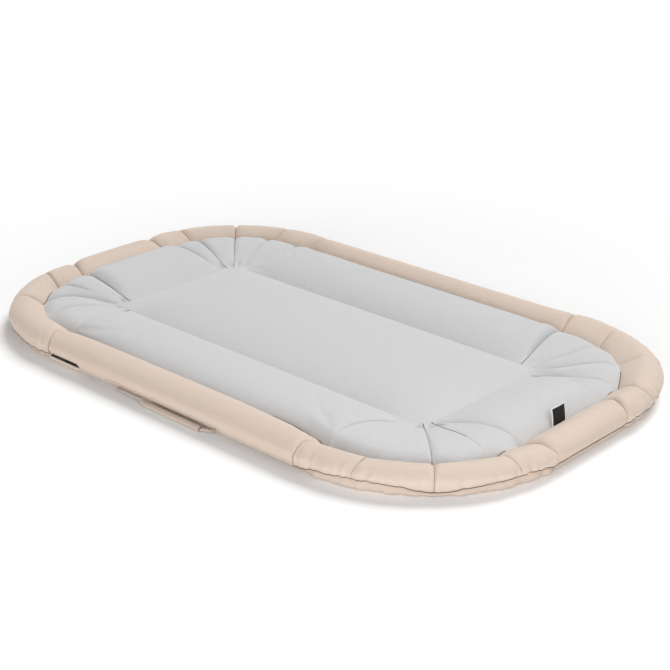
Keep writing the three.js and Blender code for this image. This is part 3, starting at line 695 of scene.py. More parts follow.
# The stretches of that seam where its dark thread shows, which is also painted shade in the seam
EDGE_THREAD_AND_SHADE_STRETCHES = {
    "near": (0.8, 1),
    "head": (0, 1),
    "head_near_3": (0, 1),
    "head_near_4": (0, 1),
    "head_far_3": (0, 1),
    "head_far_4": (0, 1),
    "foot_near_3": (0.55, 1),
    "foot_near_4": (0, 0.5),
    "foot_far_3": (0.4, 1),
    "foot_far_4": (0, 0.6),
}


def along_ring(table, middle, chamber, u):
    """A value round the lounger: from a corner's table, and to a middle value along the sides."""
    if chamber.kind == "corner":
        return through(np.arange(9) / 2, table[chamber.name[:-2]], chamber.number + u)
    if chamber.kind == "side":
        first, last = table[f"head_{chamber.name}"][0], table[f"foot_{chamber.name}"][0]
    else:
        first, last = table[f"{chamber.name}_far"][-1], table[f"{chamber.name}_near"][-1]
    share = np.array([0, 0.03, 0.12, 0.3, 0.7, 0.88, 0.97, 1])
    toward = np.array([0, 0.6, 0.88, 1, 1, 0.88, 0.6, 0])
    values = np.where(share < 0.5, first, last) * (1 - toward) + middle * toward
    return np.interp(u, share, values)


def fill(chamber, side, u, v):
    """How full a chamber is at shares along and across it: 0 in an empty seam, 1 at full crest."""
    length = chamber.length(side, v)
    mid = chamber.stuffing[side] * np.ones_like(v)
    taper = np.sqrt(v) if side == "white" else np.ones_like(v)
    if chamber.kind == "corner":
        mid = mid * taper
    full = np.repeat(mid[None], len(u), 0)
    which = 0 if side == "white" else 1
    crease = fullness_settings().crease
    for seam, share in zip(chamber.seams, (u, 1 - u)):
        left = np.interp(v, [0, 0.5, 1], seam[which]["left"])
        level = (1 - (1 - left) * crease) * taper
        run = np.minimum(seam[which]["run"], length / 2)
        away = share[:, None] * length
        sharp = 1 - rounding(away, run)
        smooth = eased(1 - np.clip(away / np.maximum(run, 1e-6), 0, 1))
        full += (level - mid) * np.where(level > mid, smooth, sharp)
    return full


def edge_fullness(chamber, u):
    """How full the chambers on both sides of the seam between the white and the beige are."""
    beige = fill(chamber, "beige", u, np.zeros(1))[:, 0]
    white = fill(chamber, "white", u, np.ones(1))[:, 0]
    return np.clip(0.65 * beige + 0.35 * white, 0, 1)


def edge_plan(chamber, u):
    """The plan of that seam: the stuffed band pushes it in over the white between the creases."""
    inner, outer = chamber.plan(chamber.pattern.top, u), chamber.plan(chamber.pattern.hem, u)
    push = EDGE_PUSH if chamber.kind == "corner" else 0.4 * EDGE_PUSH
    first, last = edge_fullness(chamber, np.array([0.0, 1.0]))
    over = np.maximum(edge_fullness(chamber, u) - first - (last - first) * u, 0)
    out = along_ring(EDGE_OUT, 0, chamber, u)
    return inner + outward_of(inner, outer) * (out - over * push)[:, None]


def edge_height(chamber, u):
    """The height of the seam between the white and the beige."""
    raised = chamber.pattern.mm["edge_height"] - DRAWN_EDGE
    return raised + along_ring(EDGE_LINE, EDGE_MIDDLE.get(chamber.name), chamber, u)


def hem_plan(chamber, u):
    """The plan of the sewn outline."""
    inner, outer = chamber.plan(chamber.pattern.top, u), chamber.plan(chamber.pattern.hem, u)
    return outer + outward_of(inner, outer) * along_ring(OUTLINE, 0, chamber, u)[:, None]


def outward_of(inner, outer):
    """Unit vectors from inner to outer points."""
    across = outer - inner
    return across / np.linalg.norm(across, axis=-1, keepdims=True)


def white_surface(chamber, u, v):
    """The top of a white chamber from the pad to the band, at shares u along and v across."""
    pattern = chamber.pattern
    inner, outer = chamber.plan(pattern.pad, u), edge_plan(chamber, u)
    low = through(WHITE_SECTION[:, 0], WHITE_SECTION[:, 1], v)
    crest = through(WHITE_SECTION[:, 0], WHITE_SECTION[:, 2], v)
    full = fill(chamber, "white", u, v)
    height = (low + (crest - low) * full) * pattern.mm["bolster_height"]
    height += folded(chamber, "white", u, v)
    if chamber.kind == "corner":
        middle = np.exp(-(((u - 0.5) / 0.13) ** 2))
        inward = np.sin(np.clip(v / 0.17, 0, 1) * math.pi)
        height -= np.outer(middle, inward) * fullness_settings().dart / MM
    to_edge = np.clip((v - 0.86) / 0.14, 0, 1) ** 2
    missing = edge_height(chamber, u) - (height[:, -1] if v[-1] == 1 else 0)
    height += missing[:, None] * to_edge
    sideways = chamber.sideways(outward_of(inner, outer))
    shift = np.outer(chamber.bow("white", u), np.sin(math.pi * v))
    plan = inner[:, None] + (outer - inner)[:, None] * v[None, :, None]
    plan = plan + sideways[:, None] * shift[..., None]
    return np.concatenate([plan, height[..., None]], -1)


# Where the near hem gapes beside the slider, the flap's height there, and the roof of the slider's
# channel behind it
GAPE_START = -258
GAPE_LENGTH = 82
GAPE_TOP = 17.6
ZIP_ROOF = 19.9
# The channel runs on past the foot end of the zip for the puller, which lies ahead of the slider
PULLER_REACH = 280
# How soon the hem is shut again at both ends of the zip
ZIP_END = 7


def zip_share(chamber, x):
    """1 along the zip in the near hem, 0 where the hem is sewn shut."""
    if chamber.nodes["beige"] not in ("side_band_near", "band_foot_near_1"):
        return np.zeros_like(x)
    hem = chamber.pattern.hem
    head = np.clip((hem.point(hem.seams[0])[0] + x) / ZIP_END, 0, 1)
    return np.minimum(head, np.clip((PULLER_REACH - x) / ZIP_END, 0, 1))


def gape(x, zipped):
    """How far the near hem gapes beside the slider of the closed zip, from 0 to 1."""
    share = np.clip((x - GAPE_START) / GAPE_LENGTH, 0, 1)
    bowed = np.clip(1.7 * np.sqrt(4 * share * (1 - share)), 0, 1)
    return bowed * np.minimum(zipped * 2.2, 1)


def hem_height(chamber, u):
    """The height of the band's lower edge."""
    height = along_ring(HEM_LINE, HEM_MIDDLE.get(chamber.name), chamber, u)
    if chamber.name == "near":
        x = chamber.plan(chamber.pattern.hem, u)[:, 0]
        over_handle = np.clip((HANDLE_HALF - np.abs(x)) / HANDLE_RISE, 0, 1)
        height += (HANDLE_CLEAR - height) * eased(over_handle)
    return height


# The furthest that the band's outer side stands past the plan's hem
MOST_SWOLLEN = 3.0


def swollen(chamber, full, zipped):
    """How far the band's outer side stands past the plan's hem, for its fullness there."""
    out = full * 7 - 4 if chamber.kind == "corner" else 4 * (full - 1)
    out = np.minimum(out, MOST_SWOLLEN)
    return out + zipped * (MOST_SWOLLEN - out)


def band_controls(chamber, u):
    """The band's section at each station, over the top, round the side and in to the hem; then the
    way outward, and the plan of the hem."""
    pattern = chamber.pattern
    inner, outer = edge_plan(chamber, u), hem_plan(chamber, u)
    outward = outward_of(chamber.plan(pattern.top, u), chamber.plan(pattern.hem, u))
    share, low, crest = BAND_SECTION.T
    full = fill(chamber, "beige", u, share)
    folds = folded(chamber, "beige", u, share)
    height = (low + (crest - low) * full) * pattern.mm["band_height"] + folds
    height[:, :3] += np.outer(edge_height(chamber, u) - height[:, 0], (1, 0.72, 0.22))
    zipped = zip_share(chamber, outer[:, 0])
    swell = swollen(chamber, full[:, -1], zipped)
    edge = outer + outward * swell[:, None]
    top = inner[:, None] + (edge - inner)[:, None] * share[None, :, None]
    top = top + outward[:, None] * (folds * share**3)[..., None]
    lip = SHUT_LIP + (ZIP_LIP - SHUT_LIP) * zipped[:, None, None]
    opened = gape(outer[:, 0], zipped)
    hem = hem_height(chamber, u)
    hem = (hem + (GAPE_TOP - hem) * opened)[:, None]
    side = height[:, -1:]
    level = hem + lip[..., 1] * (side - hem) + lip[..., 2] * (GROOVE_HEIGHT - hem)
    drawn = -folded(chamber, "beige", u, np.ones(1))
    level[:, :5] += 0.5 * drawn
    level[:, 5:7] += zipped[:, None] * (ZIP_ROOF - level[:, 5:7])
    follow = np.where(FOLLOWS == 1, swell[:, None], np.minimum(swell, 0)[:, None])
    follow = follow - FOLLOWS * drawn * 0.9
    under = outer[:, None] + outward[:, None] * (follow - lip[..., 0])[..., None]
    plan = np.concatenate([top, under], 1)
    sideways = chamber.sideways(outward)
    reach = np.append(share, np.ones(len(lip[0])))
    shift = np.outer(chamber.bow("beige", u), np.sin(math.pi * reach))
    plan = plan + sideways[:, None] * shift[..., None]
    return np.concatenate([plan, np.concatenate([height, level], 1)[..., None]], -1), outward, outer


def distances(line):
    """How far along a line each of its points lies."""
    steps = np.linalg.norm(np.diff(line, axis=0), axis=-1)
    return np.concatenate([[0], np.cumsum(steps)])


def nominal_lengths(section):
    """How far along a section each of its points lies, as shares of its whole length."""
    along = distances(section)
    return along / along[-1]


def band_shares():
    """Those shares for the band's section, at the sizes that it was drawn for."""
    over = BAND_SECTION[:, ::2] * (DRAWN_BAND, DRAWN_CREST)
    depth, side, groove = SHUT_LIP.T
    fall = DRAWN_HEM + side * (over[-1, 1] - DRAWN_HEM) + groove * (GROOVE_HEIGHT - DRAWN_HEM)
    under = np.stack([DRAWN_BAND - depth, fall], -1)
    return nominal_lengths(np.concatenate([over, under]))


BAND_SHARES = band_shares()
HEM_SHARE = BAND_SHARES[len(BAND_SECTION) + HEM_ROW]


def swept(at, controls, t):
    """Sections through control points, given for shares at, read at the shares t."""
    return np.moveaxis(through(at, np.moveaxis(controls, 1, -1), t), -1, 1)


def band_surface(chamber, u, t):
    """The outside of a beige chamber, at shares u along and t from the white top to the hem."""
    return swept(BAND_SHARES, band_controls(chamber, u)[0], t)


# Meshes


def new_mesh(name, bm):
    """A mesh from its editable form, which is freed."""
    mesh = bpy.data.meshes.new(name)
    return written(mesh, bm)


def written(mesh, bm):
    """A mesh that takes over its editable form, which is freed."""
    bm.to_mesh(mesh)
    bm.free()
    return mesh


def editable(mesh):
    """The editable form of a mesh."""
    bm = bmesh.new()
    bm.from_mesh(mesh)
    return bm


def placed(name, data):
    """A new object in the scene."""
    piece = bpy.data.objects.new(name, data)
    bpy.context.scene.collection.objects.link(piece)
    return piece


def in_triangles(bm):
    """Splits the faces of many corners."""
    bmesh.ops.triangulate(bm, faces=[face for face in bm.faces if len(face.verts) > 4])


def close_rims(bm):
    """Closes the open rims with triangles."""
    rims = [edge for edge in bm.edges if edge.is_boundary]
    bmesh.ops.holes_fill(bm, edges=rims, sides=0)
    in_triangles(bm)


def moved_points(made):
    """The points among what an extrusion made."""
    return [one for one in made["geom"] if isinstance(one, bmesh.types.BMVert)]


def thickened(mesh, thickness):
    """Gives a single sheet its cloth's thickness."""
    bm = editable(mesh)
    bmesh.ops.solidify(bm, geom=bm.faces[:], thickness=thickness * MM)
    bmesh.ops.recalc_face_normals(bm, faces=bm.faces)
    return written(mesh, bm)


def to_mesh(name, grid, closed=False, capped=False):
    """A sheet of points as a mesh, closed round its second direction and capped at both ends."""
    count_u, count_v = grid.shape[:2]
    bm = bmesh.new()
    bmesh.ops.create_grid(bm, x_segments=count_u - 1, y_segments=count_v - 1, size=0.5)
    for vertex in bm.verts:
        i = round((vertex.co.x + 0.5) * (count_u - 1))
        j = round((vertex.co.y + 0.5) * (count_v - 1))
        vertex.co = Vector(grid[i, j]) * MM
    if closed:
        bmesh.ops.remove_doubles(bm, verts=bm.verts, dist=1e-7)
    if capped:
        close_rims(bm)
    if closed or capped:
        bmesh.ops.recalc_face_normals(bm, faces=bm.faces)
    return new_mesh(name, bm)


def shown(name, mesh, finish, body="root", sharp=50):
    """A mesh as a piece with smooth faces, a finish and a body to ride on."""
    piece = placed(name, mesh)
    mesh.materials.clear()
    mesh.materials.append(material_of(finish))
    mesh.shade_smooth()
    mesh.set_sharp_from_angle(angle=math.radians(sharp))
    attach(piece, body)
    return piece


def stands_for(piece, node):
    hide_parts(node)


def tube_mesh(name, lines, radius):
    """Threads: tubes of a radius in millimetres through lines of points, closed at both ends."""
    curve = bpy.data.curves.new(name, "CURVE")
    curve.dimensions = "3D"
    curve.bevel_depth = radius * MM
    curve.bevel_resolution = 1
    curve.use_fill_caps = True
    for line in lines:
        spline = curve.splines.new("POLY")
        spline.points.add(len(line) - 1)
        for point, place in zip(spline.points, line):
            point.co = (*(np.asarray(place, float) * MM), 1)
    holder = bpy.data.objects.new(name, curve)
    mesh = bpy.data.meshes.new_from_object(holder)
    bpy.data.objects.remove(holder)
    bpy.data.curves.remove(curve)
    return mesh


# Settling: Blender's cloth gathers the spare cloth along the seams

SETTLE_FRAMES = 22
# The band's length from the white top to the hem, and on to the groove, in millimetres
TO_HEM = 78
TO_GROOVE = 84
# How far thread stands out of the cloth, and the length and pitch of the hem's stitches
THREAD_RISE = 0.4
STITCH = 2.4
STITCH_PITCH = 3.3


class Sheet:
    """A sheet of cloth that settles: its points, how firmly each is held and how much it grows."""

    def __init__(self, name, grid, hold, grow, growth, pressure):
        self.grid = grid
        uneven = np.random.default_rng(5).uniform(-0.2, 0.2, grid.shape) * (1 - hold[..., None])
        mesh = to_mesh(name, grid + uneven)
        if np.mean([face.normal.z for face in mesh.polygons]) < 0:
            mesh.flip_normals()
        self.piece = placed(name, mesh)
        for label, weights in (("held", hold), ("grown", grow)):
            group = self.piece.vertex_groups.new(name=label)
            for index, weight in enumerate(weights.T.ravel()):
                group.add([index], float(weight), "REPLACE")
        modifier = self.piece.modifiers.new("settle", "CLOTH")
        modifier.point_cache.frame_end = SETTLE_FRAMES
        cloth = modifier.settings
        cloth.quality = 7
        cloth.vertex_group_mass = "held"
        cloth.vertex_group_shrink = "grown"
        cloth.shrink_min = 0
        cloth.shrink_max = -growth * fullness_settings().ease
        cloth.bending_stiffness = 0.15
        cloth.use_pressure = True
        cloth.uniform_pressure_force = pressure
        cloth.effector_weights.gravity = 0

    def moved(self, graph, cap):
        """How far each point has moved, in millimetres and no further than the cap."""
        settled = self.piece.evaluated_get(graph).data
        flat = np.empty(len(settled.vertices) * 3)
        settled.vertices.foreach_get("co", flat)
        count_u, count_v = self.grid.shape[:2]
        points = flat.reshape(count_v, count_u, 3).transpose(1, 0, 2) / MM
        move = points - self.grid
        reach = np.linalg.norm(move, axis=-1, keepdims=True)
        return move * np.minimum(1, cap / np.maximum(reach, 1e-9))


def settle(sheets, cap):
    """Lets the sheets settle side by side, and gives the moves of their points."""
    scene = bpy.context.scene
    for number in range(1, SETTLE_FRAMES + 1):
        scene.frame_set(number)
    graph = bpy.context.evaluated_depsgraph_get()
    moves = [sheet.moved(graph, cap) for sheet in sheets]
    scene.frame_set(1)
    for sheet in sheets:
        mesh = sheet.piece.data
        bpy.data.objects.remove(sheet.piece)
        bpy.data.meshes.remove(mesh)
    return moves


def shares(distance, step):
    """Even shares of a distance, a step apart."""
    return np.linspace(0, 1, max(int(distance / step), 6) + 1)


def with_seams(distance, step):
    """Shares along a chamber, a step apart in the middle and close together at its seams."""
    even = shares(distance, step)
    edge = np.array([0.25, 0.6, 1.1, 1.8, 2.8]) / distance
    inside = even[(even > edge[-1] * 1.3) & (even < 1 - edge[-1] * 1.3)]
    return np.concatenate([[0], edge, inside, 1 - edge[::-1], [1]])


def rim_hold(u, v, soft):
    """Holds the four edges fast and the rest softly."""
    hold = np.full((len(u), len(v)), soft)
    hold[[0, -1], :] = 1
    hold[:, [0, -1]] = 1
    return hold


def level_with(points, height):
    """Points brought to one height."""
    moved = points.copy()
    moved[..., 2] = height
    return moved


def closed_section(top):
    """Closes each station of a top surface with walls down to a flat underside."""
    unit = outward_of(top[:, :1, :2], top[:, -1:, :2])
    top = top.copy()
    top[:, :1, :2] += unit * SEAM_GAP
    top[:, -1:, :2] -= unit * SEAM_GAP
    first, last = top[:, :1], top[:, -1:]
    low_last, low_first = level_with(last, UNDERSIDE), level_with(first, UNDERSIDE)
    walls = [last + (low_last - last) * share for share in (0.33, 0.66, 1)]
    under = [low_last + (low_first - low_last) * share for share in (0.25, 0.5, 0.75, 1)]
    rise = [low_first + (first - low_first) * share for share in (0.5, 1)]
    return np.concatenate([top, *walls, *under, *rise], 1)


def thread_lines(line, stretch):
    """The part of a seam line where dark thread shows, raised a little out of the crease; its dark is
    also painted shade for the crease.
    """
    if not stretch:
        return []
    count = len(line) - 1
    start, end = int(stretch[0] * count), int(stretch[1] * count)
    return [line[start : end + 1] + (0, 0, THREAD_RISE)] if end > start else []


def seam_threads(chamber, side, surface):
    """Dark thread along a chamber's seams, also painted shade in their creases: the first of a
    corner's chamber, both of an end's.
    """
    which = 0 if side == "white" else 1
    lines = []
    if chamber.kind != "side":
        lines += thread_lines(surface[0], chamber.seams[0][which]["thread"])
    if chamber.kind == "end":
        lines += thread_lines(surface[-1], chamber.seams[1][which]["thread"])
    return lines


def distance_to_rim(chamber, side, u, v, width):
    """How far each point of a chamber's grid is from the nearest of its four seams."""
    length = chamber.length(side, v)[None]
    along = np.minimum(u, 1 - u)[:, None] * length
    across = np.minimum(v, 1 - v)[None] * width
    return np.minimum(along, across)


def show_threads(name, lines, radius, finish):
    """Threads of a radius in millimetres as one piece."""
    shown(name, tube_mesh(name, lines, radius), finish)


class LOUNGER_OT_white_top(bpy.types.Operator):
    """Sews the white bolsters and corner gussets"""

    bl_idname = "lounger.white_top"
    bl_label = "White bolsters and gussets"

    def execute(self, context):
        pattern = Pattern()
        mm = pattern.mm
        jobs, sheets = [], []
        for chamber in chambers(pattern):
            width = mm["side_bolster"] if chamber.kind == "side" else mm["end_bolster"]
            long_side = chamber.length("white", np.ones(1))[0]
            u, v = shares(long_side, mm["settle_step"]), shares(width, mm["settle_step"])
            grid = white_surface(chamber, u, v)
            near = distance_to_rim(chamber, "white", u, v, width)
            grow = 0.3 + 0.7 * np.exp(-near / 22)
            growth = 0.12 if chamber.kind == "corner" else 0.05
            sheets.append(Sheet("white_sheet", grid, rim_hold(u, v, 0.003), grow, growth, 2.5))
            jobs.append((chamber, (u, v), long_side, width))
        threads = []
        for (chamber, at, long_side, width), move in zip(jobs, settle(sheets, 5)):
            u = with_seams(long_side, mm["cloth_step"])
            v = with_seams(width, mm["cloth_step"])
            top = white_surface(chamber, u, v) + resampled(move, at, (u, v))
            node = chamber.nodes["white"]
            mesh = to_mesh(f"{node}_cloth", closed_section(top), True, True)
            piece = shown(f"{node}_cloth", mesh, "cotton_jersey")
            stands_for(piece, node)
            threads += seam_threads(chamber, "white", top)
        show_threads("white_seam_thread", threads, 0.5, "seam_thread")
        return {"FINISHED"}


class LOUNGER_OT_outer_band(bpy.types.Operator):
    """Sews the beige band round the lounger"""

    bl_idname = "lounger.outer_band"
    bl_label = "Beige band"

    def execute(self, context):
        pattern = Pattern()
        mm = pattern.mm
        jobs, sheets = [], []
        for chamber in chambers(pattern):
            long_side = chamber.length("beige", np.ones(1))[0]
            u = shares(long_side, mm["settle_step"])
            t = shares(TO_HEM, mm["settle_step"]) * HEM_SHARE
            grid = band_surface(chamber, u, t)
            low = np.clip((t - 0.3) / 0.5, 0, 1)
            near = np.exp(-distance_to_rim(chamber, "beige", u, t / HEM_SHARE, TO_HEM) / 16)
            grow = np.clip(0.15 + 0.45 * low[None] + 0.4 * near, 0, 1)
            growth = 0.16 if chamber.kind == "corner" else 0.06
            sheets.append(Sheet("band_sheet", grid, rim_hold(u, t, 0.004), grow, growth, 2.5))
            jobs.append((chamber, (u, t), long_side))
        threads, stitches = [], []
        for (chamber, at, long_side), move in zip(jobs, settle(sheets, 4)):
            u = with_seams(long_side, mm["cloth_step"])
            t = with_seams(TO_GROOVE, mm["cloth_step"])
            skin = band_surface(chamber, u, t)
            fade = np.clip((HEM_SHARE - t) / 0.05, 0, 1)[None, :, None]
            skin += resampled(move, at, (u, np.minimum(t, HEM_SHARE))) * fade
            self.sew(chamber, u, skin)
            threads += seam_threads(chamber, "beige", skin[:, t < HEM_SHARE])
            threads += self.edge_thread(chamber, u, skin)
            if chamber.kind == "side":
                stitches += hem_stitches(skin, t)
            else:
                # A dark thread line a little above the hem, also painted shade in the hem's seam
                outward = band_controls(chamber, u)[1]
                line = row_above_hem(skin, t, 0.03).copy()
                line[:, :2] += outward * THREAD_RISE
                threads.append(line)
        show_threads("band_seam_thread", threads, 0.52, "seam_thread")
        show_threads("hem_topstitch", stitches, 0.26, "topstitch_thread")
        return {"FINISHED"}

    def edge_thread(self, chamber, u, skin):
        """The dark thread between white and beige, where the tight band shows it; it also paints the
        shade in that seam.
        """
        low, high = EDGE_THREAD_AND_SHADE_STRETCHES.get(chamber.name, (1, 0))
        line = skin[(u >= low) & (u <= high), 0]
        return [line + (0, 0, 0.7)] if len(line) > 3 else []

    def sew(self, chamber, u, skin):
        """Closes a beige chamber under the hem's groove and over its flat underside."""
        outward, outer = band_controls(chamber, u)[1:]
        inward = np.concatenate([outward, np.zeros((len(u), 1))], -1)[:, None]
        groove = outer - outward * GROOVE_DEPTH
        stepped = [
            np.concatenate([groove, np.full((len(u), 1), level)], -1)[:, None]
            for level in (GROOVE_HEIGHT, UNDERSIDE)
        ]
        first = skin[:, :1] + inward * SEAM_GAP
        low_first = level_with(first, UNDERSIDE)
        whole = np.concatenate([first, skin[:, 1:], *stepped, low_first, first], 1)
        node = chamber.nodes["beige"]
        mesh = to_mesh(f"{node}_cloth", whole, True, True)
        piece = shown(f"{node}_cloth", mesh, "cotton_sateen", sharp=70)
        stands_for(piece, node)


def row_above_hem(skin, t, share):
    """The band's points a share of its section above the hem."""
    return skin[:, np.argmin(abs(t - HEM_SHARE + share))]


def hem_stitches(skin, t):
    """Stitches with short gaps between them, along the band a little above the hem."""
    row = row_above_hem(skin, t, 0.06)
    along = distances(row)
    found = []
    for start in np.arange(1.0, along[-1] - 3.0, STITCH_PITCH):
        at = start + np.array([0, STITCH / 2, STITCH])
        found.append(np.stack([np.interp(at, along, row[:, axis]) for axis in range(3)], -1))
    return found


# How far from its edge the pad has risen to its full height
CROWN_RUN = 95


def pad_point(pattern, x, y, margin, drop):
    """A point of the pad's dome for a point of its rectangle, whose corners are drawn round."""
    mm = pattern.mm
    half = pattern.pad.half - margin
    radius = max(pattern.pad.radius - margin, 1)
    over_x = np.maximum(np.abs(x) - (half[0] - radius), 0)
    over_y = np.maximum(np.abs(y) - (half[1] - radius), 0)
    reach = np.maximum(np.hypot(over_x, over_y), 1e-6)
    shrink = np.maximum(over_x, over_y) / reach
    cornered = (over_x > 0) & (over_y > 0)
    x = np.where(cornered, np.sign(x) * (half[0] - radius + over_x * shrink), x)
    y = np.where(cornered, np.sign(y) * (half[1] - radius + over_y * shrink), y)
    rise = swelling(half[0] - np.abs(x), CROWN_RUN) * swelling(half[1] - np.abs(y), CROWN_RUN)
    height = mm["valley"] + (mm["pad_crown"] - mm["valley"]) * rise - drop
    return np.stack([x, y, height], -1)


def pad_grid(pattern, margin, drop, step):
    """A grid of points over the pad."""
    half = pattern.pad.half - margin
    u, v = (np.linspace(-1, 1, int(2 * size / step) + 1) for size in half)
    x, y = np.meshgrid(u * half[0], v * half[1], indexing="ij")
    return u, v, pad_point(pattern, x, y, margin, drop)


def walled(mesh, high, low):
    """Takes a dome's rim down from a high level to a low one, and closes it underneath."""
    bm = editable(mesh)
    for level in np.linspace(0.66, 0, 3):
        rim = [edge for edge in bm.edges if edge.is_boundary]
        made = bmesh.ops.extrude_edge_only(bm, edges=rim)
        for vertex in moved_points(made):
            vertex.co.z = (low + (high - low) * level) * MM
    close_rims(bm)
    bmesh.ops.recalc_face_normals(bm, faces=bm.faces)
    return written(mesh, bm)


# The pad's cover: its thickness, and its gap to the bolsters
COVER = 2.4
COVER_GAP = 0.1
# The foam inside it: how far in from the cover's edge and how far below its top
FOAM_MARGIN = 4
FOAM_DROP = 3.1


class LOUNGER_OT_mattress_pad(bpy.types.Operator):
    """Makes the foam core and its white cover"""

    bl_idname = "lounger.mattress_pad"
    bl_label = "Mattress pad"

    def execute(self, context):
        pattern = Pattern()
        valley = pattern.mm["valley"]
        u, v, grid = pad_grid(pattern, COVER_GAP, 0, 5)
        near = np.minimum(
            pattern.pad.half[0] - np.abs(grid[..., 0]), pattern.pad.half[1] - np.abs(grid[..., 1])
        )
        grow = 0.25 + 0.75 * np.exp(-near / 18)
        sheet = Sheet("pad_sheet", grid, rim_hold(u, v, 0.02), grow, 0.03, 0.6)
        move = settle([sheet], 3)[0]
        fine_u, fine_v, top = pad_grid(pattern, COVER_GAP, 0, 3)
        top += resampled(move, (u, v), (fine_u, fine_v))
        cover = walled(to_mesh("pad_cover_cloth", top), valley, UNDERSIDE)
        bm = editable(cover)
        level = (UNDERSIDE + 0.1) * MM
        low = [face for face in bm.faces if face.calc_center_median().z < level]
        bmesh.ops.delete(bm, geom=low, context="FACES")
        bmesh.ops.solidify(bm, geom=bm.faces[:], thickness=COVER * MM)
        piece = shown("pad_cover_cloth", written(cover, bm), "cotton_jersey")
        stands_for(piece, "pad_cover")
        grid = pad_grid(pattern, FOAM_MARGIN, FOAM_DROP, 8)[2]
        foam = walled(to_mesh("foam_block", grid), valley - FOAM_DROP, UNDERSIDE + 0.1)
        stands_for(shown("foam_block", foam, "cut_foam"), "foam_core")
        return {"FINISHED"}


# The skirt's section from its inside edge out to the hem and down to the floor: depth in, and the
# height as a share of the hem's and in millimetres
SKIRT = np.array(
    [
        [21.5, 0, 14.2],
        [12.8, 0, 14.3],
        [9.6, 1, 0.9],
        [7.6, 1, -1.6],
        [6.2, 0.62, 0],
        [6.2, 0.36, 0],
        [9, 0, 1.4],
        [15.5, 0, 0],
    ]
)
# Under the zip it leaves the slider's channel free, and bulges out as a lower lip where the zip
# gapes: depths in, and heights
ZIP_SKIRT = np.transpose(
    [[21.5, 12, 9.4, 7.8, 6.8, 7.2, 10.5, 17], [14.2, 14.2, 11.6, 10.6, 8.6, 5.2, 1.5, 0]]
)
GAPE_SKIRT = np.transpose(
    [[21.5, 12, 8.5, -0.4, -1.9, -2.9, -1, 11], [14.2, 14.2, 11.3, 11.3, 12.8, 10.6, 7.6, 0]]
)
# The rows of the finished cloth from its inside edge to the floor
SKIRT_ROWS = 25
# The depth of its folds in the corners, and the row whose line they are counted along
PLEAT = 1.4
PLEAT_ROW = 16
# The highest that it may settle, and where it is faced with the zip's black tape, only inside the
# gape, so that the black is the tape's colour and also painted shade in the slit: the stretch along
# the near side, the stretch across, and the height above which the tape starts
SKIRT_TOP = 18.5
GAPE_TAPE_SHADE_ALONG = (-252, -168)
GAPE_TAPE_SHADE_ACROSS = (-301.4, -280)
GAPE_TAPE_SHADE_ABOVE = 10.9
# The chambers in order round the hem, and whether each is passed from its end to its start
ROUND = [
    *[(f"foot_far_{number}", False) for number in (1, 2, 3, 4)],
    ("foot", False),
    *[(f"foot_near_{number}", True) for number in (4, 3, 2, 1)],
    ("near", True),
    *[(f"head_near_{number}", False) for number in (1, 2, 3, 4)],
    ("head", True),
    *[(f"head_far_{number}", True) for number in (4, 3, 2, 1)],
    ("far", False),
]


def skirt_controls(pattern):
    """The skirt's sections at stations all round the hem, and which stations lie in a corner."""
    everything = {one.name: one for one in chambers(pattern)}
    rows, cornered = [], []
    for name, back in ROUND:
        chamber = everything[name]
        u = shares(chamber.length("beige", np.ones(1))[0], pattern.mm["settle_step"])
        outward, outer = band_controls(chamber, u)[1:]
        full = fill(chamber, "beige", u, np.ones(1))[:, 0]
        zipped = zip_share(chamber, outer[:, 0])
        drawn = np.minimum(swollen(chamber, full, zipped), 0)
        opened = gape(outer[:, 0], zipped)[:, None, None]
        hem = hem_height(chamber, u)[:, None]
        height = SKIRT[:, 1] * hem + SKIRT[:, 2]
        section = np.stack([SKIRT[:, 0] - drawn[:, None], height], -1)
        section += (ZIP_SKIRT - section) * zipped[:, None, None]
        section += (GAPE_SKIRT - section) * opened
        place = outer[:, None] - outward[:, None] * section[..., :1]
        row = np.concatenate([place, section[..., 1:]], -1)
        row = row[::-1] if back else row
        rows.append(row if not rows else row[1:])
        cornered += [chamber.kind == "corner"] * len(rows[-1])
    ring = np.concatenate(rows)
    ring[-1] = ring[0]
    return ring, np.array(cornered, float)


def pleated(cloth, cornered, across):
    """Soft upright folds of unlike widths where the skirt is drawn in round the corners."""
    line = cloth[:, PLEAT_ROW, :2]
    ahead = np.roll(line, -1, axis=0) - np.roll(line, 1, axis=0)
    outward = np.stack([ahead[:, 1], -ahead[:, 0]], -1)
    outward /= np.linalg.norm(outward, axis=-1, keepdims=True)
    outward *= np.sign((outward * line).sum(-1, keepdims=True))
    along = distances(line)
    small = np.sin(along / 2.5 + 2.2 * np.sin(along / 17))
    wave = 0.35 * small + np.sin(along / 6.1 + 2.4 * np.sin(along / 29))
    fall = np.clip((across - 0.42) / 0.25, 0, 1) * np.clip((1 - across) / 0.12, 0.25, 1)
    out = outward[:, None] * (PLEAT * cornered * wave)[:, None, None] * fall[None, :, None]
    return cloth[..., :2] + out


